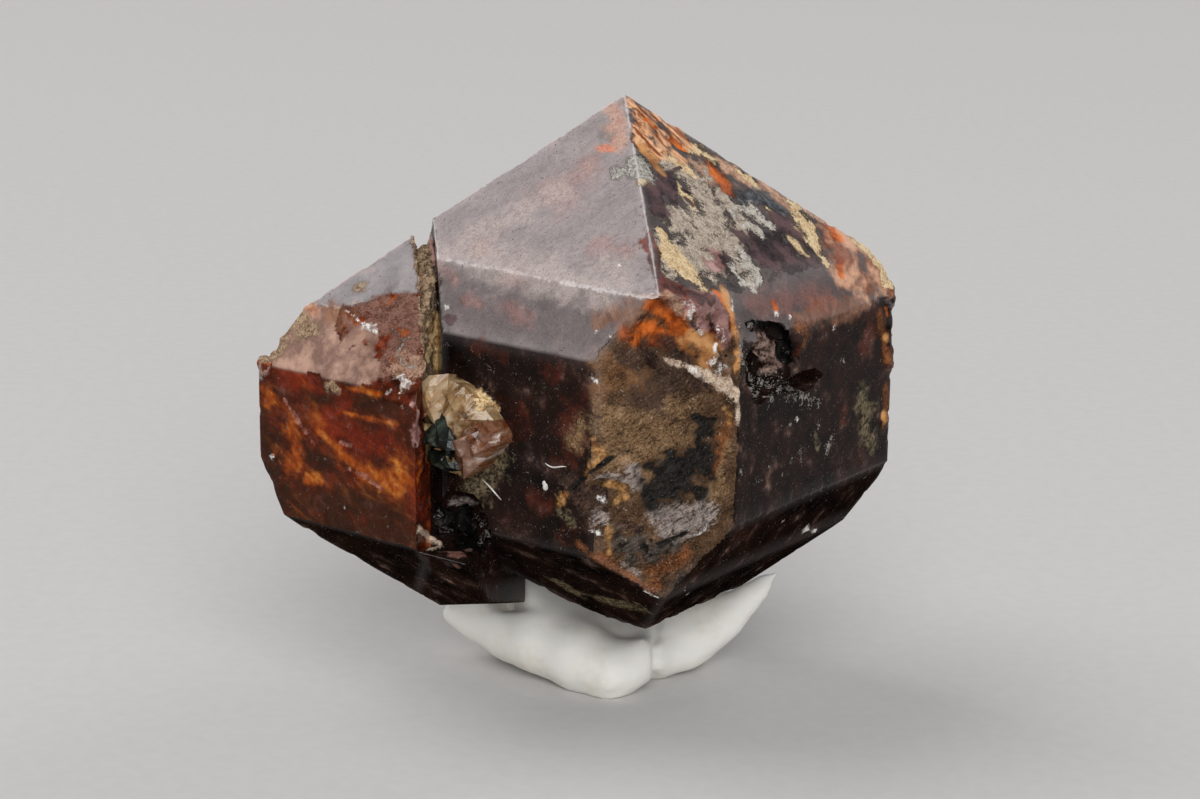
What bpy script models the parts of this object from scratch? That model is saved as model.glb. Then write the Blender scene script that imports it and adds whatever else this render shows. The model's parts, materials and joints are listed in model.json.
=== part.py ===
"""Zircon crystal: a stubby double pyramid with a second crystal grown beside it, on a pad of white tack.

Lengths are in millimetres and are multiplied by MM where Blender needs metres. The c axis of the crystal
is vertical and is the Z axis of the part, and the tack's flat underside is the plane Z = 0. A point on
the crystal is given by how far it lies towards the front edge, how far towards the left edge, and how
far below the apex. A flat face is given by its distance from the c axis.
"""

import math
import random

import bmesh
import bpy
from mathutils import Matrix, Vector, noise

MM = 0.001

# The whole piece
APEX_HEIGHT = 21.0            # apex above the surface that the tack lies on
YAW = math.radians(8.16)      # turn of the crystal's front edge from the -Y direction
GAP = 0.3                     # air between the crystal and the tack
STOCK = 80                    # edge of the block that the crystals are cut from
WELD = 0.002                  # corners closer than this are one

# Zircon's forms: slope of each pyramid, as fall per step outwards
PYRAMID = 0.905               # the common pyramid, c over a
STEEP = 2 * PYRAMID           # the steeper pyramid between it and the prism

# Main crystal: distance from the c axis of each pyramid's lower edge and of the prism face below it
MAIN_EDGE = {"left_front": 5.82, "right_front": 6.20, "right_back": 6.00, "left_back": 5.90}
MAIN_PRISM = {"left_front": 6.93, "right_front": 7.03, "right_back": 6.48, "left_back": 6.90}
MAIN_LOWER_TIP = {"left_front": 20.22, "right_front": 20.68, "right_back": 20.69, "left_back": 20.30}
MAIN_LOWER_BAND_TOP = {"right_front": 13.2, "right_back": 13.9}
MAIN_BACK_FLAT = 8.75         # flat that cuts off the back edge of the prism
MAIN_LEFT_FLAT = 6.55         # flat that ends the main crystal towards the left
MAIN_BREAKS = (               # breaks that end its foot: a point on each and the way it faces
    ((3.3, 0.4, 17.82), (0.0, 0.0, -1.0)),
    ((2.6, 1.1, 17.85), (0.0, 0.48, -0.88)),
)

# Second crystal, grown parallel to the main one and reaching further left
SIDE_APEX_DROP = 0.16
SIDE_EDGE = {"left_front": 7.65, "left_back": 7.65}
SIDE_PRISM = {"left_front": 8.76, "left_back": 9.00}
SIDE_LOWER_TIP = {"left_front": 22.33, "left_back": 21.90}
SIDE_LOWER_BAND_TOP = {"left_back": 12.5}
SIDE_BREAK = (0.55, 6.31, 17.94)  # a point on the break that ends its foot
SIDE_BREAK_SLANT = (0.37, 0.0, -1.0)
SIDE_CORNER = (4.81, 7.58)    # front and left distance of its front right corner
SIDE_WALL_SLANT = (0.406, -0.914)
SIDE_FOOT_CORNER = (6.10, 6.05)  # the same corner of its foot, which runs on below the notch
SIDE_FOOT_TOP = 14.55

# Seam between the two crystals, filled with grains to a little below both
SEAM = (6.50, 7.20)
SEAM_DEPTH = 0.40
SEAM_FOOT = 9.4               # depth below the apex where it ends

# Rough front flat of the main crystal
FRONT_FLAT = 7.79
FRONT_FLAT_TOP = 5.25         # depth below the apex where it starts
FRONT_FLAT_BOTTOM = 17.0
FRONT_FLAT_TURN = 0.33        # how fast it falls back on its right half

# Tack: X, Y, height and radius of the balls that it was rolled and pressed from
TACK_GRID = 0.42              # how finely the pressed surface is divided
TACK_SOFTENING = 6            # passes that round it off
TACK_LEFT_ARM = (
    (-6.15, 1.9, 1.60, 0.58),
    (-5.1, 1.4, 1.40, 0.85),
    (-3.9, 0.6, 1.30, 1.15),
    (-2.7, -0.2, 1.35, 1.40),
    (-1.4, -1.2, 1.10, 1.35),
    (-0.35, -1.9, 0.85, 1.15),
    (0.45, -1.7, 0.85, 0.95),
    (0.85, -1.55, 1.40, 0.72),
)
TACK_RIGHT_ARM = (
    (1.5, -0.3, 0.85, 0.95),
    (2.5, 0.2, 1.10, 1.05),
    (3.5, 0.7, 1.60, 0.95),
    (4.4, 1.1, 2.25, 0.80),
    (5.2, 1.3, 3.00, 0.58),
    (5.8, 1.4, 3.55, 0.36),
)
TACK_BED = (
    (-1.6, 1.6, 1.0, 2.1),
    (0.3, 1.5, 0.9, 2.1),
    (1.9, 1.9, 1.0, 1.8),
    (-3.3, 2.2, 1.2, 1.6),
    (-0.6, 3.2, 0.8, 1.6),
    (-1.4, 1.6, 2.0, 1.9),
    (0.6, 1.6, 1.9, 1.9),
    (2.0, 1.8, 1.7, 1.7),
    (-3.3, 1.9, 2.6, 1.8),
)

FRONT = Vector((math.sin(YAW), -math.cos(YAW), 0))
LEFT = Vector((-math.cos(YAW), -math.sin(YAW), 0))
UP = Vector((0, 0, 1))
SIDES = {
    "left_front": (FRONT + LEFT).normalized(),
    "right_front": (FRONT - LEFT).normalized(),
    "right_back": (-FRONT - LEFT).normalized(),
    "left_back": (LEFT - FRONT).normalized(),
}


def place(front, left, below):
    """A point from its distances towards the front edge and the left edge, and its depth."""
    return (FRONT * front + LEFT * left + UP * (APEX_HEIGHT - below)) * MM


def heading(front, left, up):
    """A unit direction from its parts along the front, left and up axes."""
    return (FRONT * front + LEFT * left + UP * up).normalized()


def clear_scene():
    """Remove every object, so that the part stands alone."""
    for item in list(bpy.data.objects):
        bpy.data.objects.remove(item, do_unlink=True)


def new_object(name, bm):
    """Turn a closed bmesh into a scene object whose faces point outwards."""
    bmesh.ops.recalc_face_normals(bm, faces=bm.faces)
    if bm.calc_volume(signed=True) < 0:
        bmesh.ops.reverse_faces(bm, faces=bm.faces)
    mesh = bpy.data.meshes.new(name)
    bm.to_mesh(mesh)
    bm.free()
    item = bpy.data.objects.new(name, mesh)
    bpy.context.scene.collection.objects.link(item)
    return item


def combine(item, operation, tools):
    """Add a Boolean modifier for each tool, and mark the tools as shapes that aren't parts."""
    for tool in tools:
        tool.hide_render = True
        tool.display_type = "WIRE"
        modifier = item.modifiers.new(operation.title() + " " + tool.name, "BOOLEAN")
        modifier.operation = operation
        modifier.solver = "EXACT"
        modifier.object = tool


def paint(item, name, colour, roughness):
    """Give an object a plain Principled material."""
    material = bpy.data.materials.new(name)
    material.use_nodes = True
    shader = material.node_tree.nodes["Principled BSDF"]
    shader.inputs["Base Color"].default_value = (*colour, 1)
    shader.inputs["Roughness"].default_value = roughness
    shader.inputs["Metallic"].default_value = 0
    item.data.materials.append(material)


# ---- flat crystal faces ----

def wall(direction, distance):
    """An upright face, as a point on it and its outward normal."""
    return (direction * distance + UP * APEX_HEIGHT) * MM, direction


def roof(direction, distance, below, slope, upwards=1):
    """A sloping face through the given distance and depth; with upwards -1 it closes the lower end."""
    point = (direction * distance + UP * (APEX_HEIGHT - below)) * MM
    return point, (direction * slope + UP * upwards).normalized()


def crystal_faces(edges, prisms, lower_tips, lower_bands, apex_drop=0.0):
    """Every growth face of a crystal, from its distances by side."""
    faces = []
    for side, prism in prisms.items():
        direction = SIDES[side]
        edge = edges[side]
        faces.append(roof(direction, 0, apex_drop, PYRAMID))
        faces.append(roof(direction, edge, apex_drop + edge * PYRAMID, STEEP))
        faces.append(wall(direction, prism))
        faces.append(roof(direction, 0, lower_tips[side], PYRAMID, upwards=-1))
        if side in lower_bands:
            faces.append(roof(direction, prism, lower_bands[side], STEEP, upwards=-1))
    return faces


def main_faces():
    """The faces of the main crystal."""
    faces = crystal_faces(MAIN_EDGE, MAIN_PRISM, MAIN_LOWER_TIP, MAIN_LOWER_BAND_TOP)
    faces += [wall(-FRONT, MAIN_BACK_FLAT), wall(LEFT, MAIN_LEFT_FLAT)]
    return faces + [(place(*point), heading(*way)) for point, way in MAIN_BREAKS]


def side_faces(corner):
    """The faces of the second crystal, with the two slanted walls that lean into the main one."""
    faces = crystal_faces(SIDE_EDGE, SIDE_PRISM, SIDE_LOWER_TIP, SIDE_LOWER_BAND_TOP, SIDE_APEX_DROP)
    front, left = SIDE_WALL_SLANT
    faces.append((place(corner[0], corner[1], 0), heading(front, left, 0)))
    faces.append((place(-corner[0], corner[1], 0), heading(-front, left, 0)))
    faces.append((place(*SIDE_BREAK), heading(*SIDE_BREAK_SLANT)))
    return faces


def foot_faces():
    """The faces of the second crystal's foot, which reaches further in under the notch."""
    return side_faces(SIDE_FOOT_CORNER) + [(place(0, 0, SIDE_FOOT_TOP), UP)]


def cut_block(name, faces, grow=0.0):
    """Cut a block by flat faces and keep what lies inside them all; grow moves each face outwards."""
    bm = bmesh.new()
    bmesh.ops.create_cube(bm, size=STOCK * MM)
    for point, normal in faces:
        geometry = bm.verts[:] + bm.edges[:] + bm.faces[:]
        cut = bmesh.ops.bisect_plane(
            bm, geom=geometry, plane_co=point + normal * grow * MM, plane_no=normal, clear_outer=True
        )
        rim = [part for part in cut["geom_cut"] if isinstance(part, bmesh.types.BMEdge)]
        if rim:
            bmesh.ops.contextual_create(bm, geom=rim)
    bmesh.ops.remove_doubles(bm, verts=bm.verts, dist=WELD * MM)
    bmesh.ops.dissolve_degenerate(bm, edges=bm.edges, dist=WELD * MM)
    return new_object(name, bm)


# ---- broken and rough surfaces ----

def axes_on(normal):
    """Axes for a face: across it to the right as seen from outside, up it, and out of it."""
    across = UP.cross(normal).normalized()
    return Matrix((across, normal.cross(across), normal)).transposed()


def grain(seed, pitch, height):
    """An uneven surface of lumps of the given pitch and height, as a function of two distances."""
    def relief(across, up):
        spot = Vector((across / pitch, up / pitch, seed * 7.3))
        return height * noise.fractal(spot, 0.9, 2.1, 3)
    return relief


def rough_cut(name, centre, normal, size, cells, relief):
    """A block to cut with, whose inner side is an uneven sheet through the centre."""
    width, tall, thick = size
    turn = axes_on(normal)
    bm = bmesh.new()
    bmesh.ops.create_grid(bm, x_segments=cells[0], y_segments=cells[1], size=0.5)
    for vert in bm.verts:
        across, up = vert.co.x * width, vert.co.y * tall
        vert.co = Vector((across, up, relief(across, up)))
    lifted = bmesh.ops.extrude_face_region(bm, geom=bm.faces[:])
    for part in lifted["geom"]:
        if isinstance(part, bmesh.types.BMVert):
            part.co.z = thick
    for vert in bm.verts:
        vert.co = centre + turn @ vert.co * MM
    return new_object(name, bm)


def lump(name, centre, normal, radii, seed, uneven=0.15, fineness=3):
    """A rounded, uneven lump or hollow, with radii across, up and out of a face."""
    turn = axes_on(normal)
    bm = bmesh.new()
    bmesh.ops.create_icosphere(bm, subdivisions=fineness, radius=1)
    for vert in bm.verts:
        swell = 1 + uneven * noise.fractal(vert.co * 1.4 + UP * seed * 5.1, 0.9, 2.0, 3)
        shape = Vector([part * radius for part, radius in zip(vert.co, radii)]) * swell
        vert.co = centre + turn @ shape * MM
    return new_object(name, bm)


def shard(name, centre, normal, radii, seed):
    """An angular broken piece: an ellipsoid pared down by twelve flats, each a little off its place."""
    turn = axes_on(normal)
    dice = random.Random(seed)
    pattern = bmesh.new()
    bmesh.ops.create_icosphere(pattern, subdivisions=1, radius=1)
    faces = []
    for vert in pattern.verts:
        way = (vert.co + Vector([dice.uniform(-0.35, 0.35) for _ in range(3)])).normalized()
        reach = Vector([part * radius for part, radius in zip(way, radii)]).length
        faces.append((centre + turn @ way * reach * dice.uniform(0.72, 1.0) * MM, turn @ way))
    pattern.free()
    return cut_block(name, faces)


def ledge(name, face, depth, borders):
    """What lies outside a face moved in by depth, within the borders: its cut leaves a step."""
    point, normal = face
    return cut_block(name, [(point - normal * depth * MM, -normal)] + borders)


def front_flat_relief(across, up):
    """The sugary front flat: it turns back on the right, has two hollows and a low swell between."""
    turned = FRONT_FLAT_TURN * max(0.0, across - 0.6)
    hollow = 0.45 * math.exp(-((across + 2.0) ** 2 / 0.7 + (up + 0.8) ** 2 / 0.5))
    dent = 0.30 * math.exp(-((across - 1.5) ** 2 / 0.5 + (up - 0.6) ** 2 / 1.2))
    swell = 0.15 * math.exp(-((across - 0.1) ** 2 + (up + 1.9) ** 2) / 1.5)
    return swell - turned - hollow - dent + grain(3, 1.6, 0.10)(across, up)


def crystal_cuts():
    """What is broken off or never grew: the front flat, seam, hollows and fractures."""
    left_front, right_front = SIDES["left_front"], SIDES["right_front"]
    flat_tall = FRONT_FLAT_BOTTOM - FRONT_FLAT_TOP
    flat_middle = place(FRONT_FLAT, -0.3, FRONT_FLAT_TOP + flat_tall / 2)
    chip_normal = heading(0.635, 0.508, 0.580)
    return [
        rough_cut("front_flat", flat_middle, FRONT, (9, flat_tall, 4), (18, 24), front_flat_relief),
        rough_cut(
            "shoulder_chip", place(2.6, 8.3, 7.75), chip_normal, (4.4, 4.6, 3), (9, 9), grain(5, 1.2, 0.16)
        ),
        lump("orange_fracture", place(8.60, -0.95, 6.55), heading(1, -0.15, 0.1), (2.3, 1.75, 1.5), 2, 0.16),
        lump("fracture_lobe", place(7.7, -2.35, 6.6), heading(1, -0.6, 0.3), (0.9, 1.3, 0.8), 4, 0.2),
        lump("vug", place(5.95, -4.15, 7.95), right_front, (1.45, 1.35, 1.5), 7, 0.3),
        lump("vug_tail", place(4.5, -5.5, 9.1), heading(1, -1, 0.25), (1.25, 0.36, 0.7), 8, 0.25),
        lump("notch_hollow", place(4.0, 5.95, 13.7), left_front, (1.15, 0.95, 1.3), 9, 0.25),
        lump("apex_chip", place(1.6, -0.25, 0.85), heading(1, -0.3, 0.6), (0.45, 1.3, 0.28), 10, 0.2, 2),
        lump("foot_chip", place(3.4, -6.1, 15.6), heading(0.6, -1, -0.6), (0.75, 0.55, 0.6), 12, 0.3, 2),
        lump("back_pit", place(-5.9, 3.7, 10.8), SIDES["left_back"], (1.5, 1.0, 0.7), 13, 0.3),
        lump("back_scar", place(-7.2, -1.6, 7.2), heading(-1, -0.2, 0.5), (1.7, 1.5, 1.0), 14, 0.25),
    ]


def seam_cut():
    """The seam: a slab between the crystals, less the grains that fill its bottom."""
    near, far = SEAM
    foot = (place(0, 0, SEAM_FOOT), -UP)
    slab = cut_block("seam", [wall(LEFT, far), wall(-LEFT, -near), foot])
    core = cut_block("seam_grains", side_faces(SIDE_CORNER), grow=-SEAM_DEPTH)
    combine(slab, "DIFFERENCE", [core])
    return slab


def growth_ledges():
    """Low steps left on the back faces by layers that stopped growing part way across."""
    right_back, left_back = SIDES["right_back"], SIDES["left_back"]
    upper_back = roof(left_back, 0, 0, PYRAMID)
    right_wall = wall(right_back, MAIN_PRISM["right_back"])
    side_wall = wall(left_back, SIDE_PRISM["left_back"])
    return [
        ledge("right_back_step", right_wall, 0.22, [
            (place(-3.0, -5.5, 9.6), heading(-0.3, 0.3, -1)),
            (place(-1.8, -7.4, 9.6), heading(0.5, -1, 0.4)),
        ]),
        ledge("upper_back_step", upper_back, 0.18, [(place(-3.2, 1.0, 3.6), heading(1, 0.9, 0))]),
        ledge("side_back_step", side_wall, 0.25, [
            (place(-1.5, 11.0, 11.2), heading(-0.2, -0.2, 1)),
            (place(-2.2, 10.6, 11.2), heading(0.3, 1, -0.2)),
        ]),
    ]


def crystal_growths():
    """Small things grown on or stuck fast to the crystals."""
    left_front = SIDES["left_front"]
    right = -LEFT
    growths = [
        shard("honey_fragment", place(4.48, 5.72, 10.20), left_front, (1.12, 1.50, 0.80), 41),
        shard("pale_fragment", place(3.85, 6.75, 9.50), heading(1, 0.6, 0.2), (0.75, 0.80, 0.55), 22),
        shard("dark_shard", place(3.92, 6.55, 10.80), heading(1, 0.8, 0), (0.65, 0.85, 0.55), 23),
        shard("dark_grain", place(4.0, 6.2, 11.85), left_front, (0.5, 0.45, 0.4), 24),
        lump("tan_flake", place(3.35, 6.95, 14.75), left_front, (0.55, 0.40, 0.45), 25, 0.3, 2),
        lump("brown_grain", place(3.65, 6.25, 15.0), left_front, (0.45, 0.38, 0.4), 26, 0.3, 2),
        lump("left_grain", place(-0.1, 12.30, 9.3), LEFT, (0.45, 0.38, 0.30), 27, 0.3, 2),
    ]
    for number, (below, size) in enumerate(((7.15, 0.42), (8.6, 0.34), (9.6, 0.26), (11.6, 0.36))):
        spot = place(0.45, -9.28, below)
        radii = (size, size * 1.1, 0.3)
        growths.append(lump(f"edge_bead_{number + 1}", spot, right, radii, 30 + number, 0.3, 2))
    return growths


def build_crystal():
    """The two intergrown crystals and all that is fast to them, as one solid."""
    crystal = cut_block("zircon_crystal", main_faces())
    side = cut_block("second_crystal", side_faces(SIDE_CORNER))
    foot = cut_block("second_crystal_foot", foot_faces())
    combine(side, "DIFFERENCE", [seam_cut()])
    combine(crystal, "UNION", [side, foot])
    combine(crystal, "DIFFERENCE", crystal_cuts() + growth_ledges())
    combine(crystal, "UNION", crystal_growths())
    paint(crystal, "zircon", (0.10, 0.03, 0.015), 0.25)
    return crystal


# ---- the tack ----

def build_tack():
    """A pad of soft white tack, pressed flat below and moulded to the crystals above."""
    bm = bmesh.new()
    for x, y, height, radius in TACK_LEFT_ARM + TACK_RIGHT_ARM + TACK_BED:
        centre = Matrix.Translation(Vector((x, y, height)) * MM)
        bmesh.ops.create_icosphere(bm, subdivisions=3, radius=radius * MM, matrix=centre)
    tack = new_object("mounting_tack", bm)
    merge = tack.modifiers.new("Press together", "REMESH")
    merge.mode = "VOXEL"
    merge.voxel_size = TACK_GRID * MM
    merge.use_smooth_shade = True
    soften = tack.modifiers.new("Soften", "SMOOTH")
    soften.iterations = TACK_SOFTENING
    floor = cut_block("floor", [(Vector(), UP)])
    sockets = [
        cut_block("main_socket", main_faces(), grow=GAP),
        cut_block("side_socket", side_faces(SIDE_CORNER), grow=GAP),
        cut_block("foot_socket", foot_faces(), grow=GAP),
    ]
    combine(tack, "DIFFERENCE", [floor] + sockets)
    paint(tack, "white_tack", (0.80, 0.78, 0.72), 0.75)
    return tack


def main():
    """Build the crystal and the tack that holds it."""
    clear_scene()
    build_crystal()
    build_tack()


main()
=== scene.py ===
"""Zircon crystal standing in a pad of white tack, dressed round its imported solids.

Lengths are millimetres unless a name says otherwise, and MM turns them into metres. A place on the
crystal is a site: how far it lies towards the front edge, how far towards the left edge, and how far
below the apex.
"""

from __future__ import annotations

import json
import logging
import math
from dataclasses import dataclass, field
from enum import Enum
from typing import Mapping, Sequence

import bmesh
import bpy
import numpy as np
from mathutils import Matrix, Vector
from mathutils.bvhtree import BVHTree

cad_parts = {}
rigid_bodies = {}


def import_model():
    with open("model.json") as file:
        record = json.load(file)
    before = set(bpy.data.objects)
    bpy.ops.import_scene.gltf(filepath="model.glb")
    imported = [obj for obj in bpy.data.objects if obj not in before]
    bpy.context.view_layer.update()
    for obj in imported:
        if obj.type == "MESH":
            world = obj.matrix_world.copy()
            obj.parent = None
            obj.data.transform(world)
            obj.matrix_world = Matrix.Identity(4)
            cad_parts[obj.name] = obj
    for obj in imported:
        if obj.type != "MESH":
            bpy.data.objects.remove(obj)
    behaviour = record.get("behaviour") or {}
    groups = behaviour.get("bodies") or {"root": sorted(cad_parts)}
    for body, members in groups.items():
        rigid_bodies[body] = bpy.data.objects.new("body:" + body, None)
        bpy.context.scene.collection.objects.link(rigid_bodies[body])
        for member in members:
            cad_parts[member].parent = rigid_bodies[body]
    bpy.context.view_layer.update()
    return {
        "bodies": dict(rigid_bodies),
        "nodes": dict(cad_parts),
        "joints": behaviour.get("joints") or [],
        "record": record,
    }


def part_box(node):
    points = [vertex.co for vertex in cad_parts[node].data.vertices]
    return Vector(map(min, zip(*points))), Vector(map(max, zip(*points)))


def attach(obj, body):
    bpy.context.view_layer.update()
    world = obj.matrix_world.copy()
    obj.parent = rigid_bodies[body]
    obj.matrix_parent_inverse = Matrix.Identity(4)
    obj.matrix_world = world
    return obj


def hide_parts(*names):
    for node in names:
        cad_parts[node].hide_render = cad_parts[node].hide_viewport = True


LOG = logging.getLogger("zircon")

MM = 0.001
APEX_HEIGHT = 21.0
YAW = math.radians(8.16)
FRONT = np.array((math.sin(YAW), -math.cos(YAW), 0.0))
LEFT = np.array((-math.cos(YAW), -math.sin(YAW), 0.0))
UP = np.array((0.0, 0.0, 1.0))
CLEARANCE = 2e-6  # how far the pieces stay inside the solids' boxes, in metres
PYRAMID_SLOPE = 0.905  # the common pyramid, c over a
STEEP_SLOPE = 2 * PYRAMID_SLOPE

Colour = tuple[float, float, float]
Spot = tuple[float, float, float, float]
Stroke = tuple[tuple[float, float, float], ...]

# Strokes are placed and measured in the pixels of the frame in which the crystal is seen.
PIXELS_PER_MM = 29.4
BROAD_STROKE = 3.2  # strokes that reach further than this are spread in full
FINE_STROKE = 2.0  # and those that reach no further than this aren't spread
THIN_GAIN = 0.45  # the part of the spread that the strokes between them get
FINE_GAIN = 1.1  # what the reach of the fine strokes is multiplied by
LEAST_REACH = 2.1  # in pixels, for every stroke
NUDGES = (0, 2, 4, 6)  # how far beside a place the crystal is looked for


class Side(Enum):
    """The four sides of a crystal, each with its direction as parts towards front and left."""

    LEFT_FRONT = (math.sqrt(0.5), math.sqrt(0.5))
    RIGHT_FRONT = (math.sqrt(0.5), -math.sqrt(0.5))
    RIGHT_BACK = (-math.sqrt(0.5), -math.sqrt(0.5))
    LEFT_BACK = (-math.sqrt(0.5), math.sqrt(0.5))


class FaceKind(Enum):
    """The kinds of growth face."""

    PYRAMID = 0
    STEEP = 1
    PRISM = 2
    LOWER = 3
    END = 4


# ---- places and fields ----

def to_sites(points: np.ndarray) -> np.ndarray:
    """Turn points in metres into sites.

    Args:
        points: An array of points, one to a row.

    Returns:
        An array of (front, left, below) in millimetres.
    """
    spread = points / MM
    return np.stack((spread @ FRONT, spread @ LEFT, APEX_HEIGHT - spread[:, 2]), axis=1)


def place(front: float, left: float, below: float) -> Vector:
    """The point in metres of one site."""
    return Vector((FRONT * front + LEFT * left + UP * (APEX_HEIGHT - below)) * MM)


def heading(front: float, left: float, up: float) -> Vector:
    """A unit direction from its parts along the front, left and up axes."""
    return Vector(FRONT * front + LEFT * left + UP * up).normalized()


def ease(values: np.ndarray, low: float, high: float) -> np.ndarray:
    """A smooth step from 0 at low to 1 at high."""
    share = np.clip((values - low) / (high - low), 0.0, 1.0)
    return share * share * (3 - 2 * share)


class Grain:
    """Smooth and cellular random fields over points, the same on every run."""

    table: int = 256
    octave_shift: float = 17.3
    swell: float = 1.6
    far: float = 9.0

    def __init__(self, seed: int) -> None:
        """Draw the tables.

        Args:
            seed: Starts the draw.
        """
        draw = np.random.default_rng(seed)
        self.order = draw.permutation(self.table)
        ways = draw.normal(size=(self.table, 3))
        self.ways = ways / np.linalg.norm(ways, axis=1, keepdims=True)
        self.jitter = draw.random(size=(self.table, 3))

    def _pick(self, cell: np.ndarray) -> np.ndarray:
        """A table index for each cell of the lattice.

        Args:
            cell: The cells, one to a row.

        Returns:
            The indices.
        """
        index = np.zeros(len(cell), int)
        for column in cell.T:
            index = self.order[(index + column) % self.table]
        return index

    def smooth(self, points: np.ndarray, size: float) -> np.ndarray:
        """Rolling noise.

        Args:
            points: The points, one to a row.
            size: The width of a swell.

        Returns:
            A value of about -1 to 1 for each point.
        """
        spot = points / size
        cell = np.floor(spot).astype(int)
        part = spot - cell
        blend = part * part * part * (part * (part * 6 - 15) + 10)
        total = np.zeros(len(points))
        for corner in range(8):
            step = np.array((corner & 1, corner >> 1 & 1, corner >> 2 & 1))
            pull = (self.ways[self._pick(cell + step)] * (part - step)).sum(1)
            total += pull * np.prod(np.where(step, blend, 1 - blend), axis=1)
        return total * self.swell

    def fractal(self, points: np.ndarray, size: float, octaves: int = 4, gain: float = 0.5) -> np.ndarray:
        """Rolling noise with finer noise on it.

        Args:
            points: The points, one to a row.
            size: The width of the broadest swell. Each octave has half the width of the one before.
            octaves: How many there are.
            gain: The height of each octave, as a share of the one before.

        Returns:
            A value for each point.
        """
        total = np.zeros(len(points))
        height = 1.0
        for octave in range(octaves):
            total += height * self.smooth(points + octave * self.octave_shift, size / 2 ** octave)
            height *= gain
        return total

    def cells(self, points: np.ndarray, size: float) -> tuple[np.ndarray, np.ndarray]:
        """Cellular noise.

        Args:
            points: The points, one to a row.
            size: The width of a cell.

        Returns:
            The distances to the nearest and the second nearest cell centre, in cell widths.
        """
        spot = points / size
        cell = np.floor(spot).astype(int)
        nearest = np.full(len(points), self.far)
        second = nearest.copy()
        for index in range(27):
            step = np.array((index % 3 - 1, index // 3 % 3 - 1, index // 9 - 1))
            centre = cell + step + self.jitter[self._pick(cell + step)]
            gap = np.linalg.norm(centre - spot, axis=1)
            second = np.minimum(second, np.maximum(nearest, gap))
            nearest = np.minimum(nearest, gap)
        return nearest, second


@dataclass(frozen=True)
class Viewpoint:
    """Where the crystal is seen from, and the frame of pixels that it is seen in."""

    pitch: float = math.radians(15.49)
    roll: float = math.radians(-0.59)
    lens: float = 87.3
    sensor: float = 36.0
    eye: tuple[float, float, float] = (-0.00072371, -0.09814729, 0.03741896)
    frame_width: int = 1200
    frame_height: int = 799

    def axes(self) -> tuple[Vector, Vector, Vector]:
        """Work out which way the eye looks.

        Returns:
            The directions to the right, down and ahead, as they are seen.
        """
        ahead = Vector((0, math.cos(self.pitch), -math.sin(self.pitch)))
        right = Vector((1, 0, 0))
        down = ahead.cross(right)
        if down.z > 0:
            down.negate()
        cosine, sine = math.cos(self.roll), math.sin(self.roll)
        return right * cosine + down * sine, down * cosine - right * sine, ahead

    def ray(self, across: float, down: float) -> Vector:
        """Find where a place in the frame lies.

        Args:
            across: The place's pixels from the left.
            down: Its pixels from the top.

        Returns:
            The direction from the eye.
        """
        rightward, downward, ahead = self.axes()
        far = self.lens / self.sensor * self.frame_width
        aside = rightward * (across - self.frame_width / 2) + downward * (down - self.frame_height / 2)
        return (aside + ahead * far).normalized()


VIEWPOINT = Viewpoint()


class Sight:
    """Finds the site that shows at a place in the frame."""

    def __init__(self, item: bpy.types.Object) -> None:
        """Take the solid that is looked at.

        Args:
            item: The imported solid.
        """
        points = [item.matrix_world @ vertex.co / MM for vertex in item.data.vertices]
        self.tree = BVHTree.FromPolygons(points, [tuple(polygon.vertices) for polygon in item.data.polygons])

    def site(self, across: float, down: float) -> np.ndarray | None:
        """Find what shows at a place in the frame, or close beside it.

        Args:
            across: The place's pixels from the left.
            down: Its pixels from the top.

        Returns:
            The site, or None where the crystal isn't near.
        """
        for step in NUDGES:
            for right, lower in ((-step, 0), (step, 0), (0, step), (0, -step)):
                ray = VIEWPOINT.ray(across + right, down + lower)
                hit = self.tree.ray_cast(Vector(VIEWPOINT.eye) / MM, ray)[0]
                if hit is not None:
                    return to_sites(np.array(hit)[None] * MM)[0]
        return None


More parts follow.
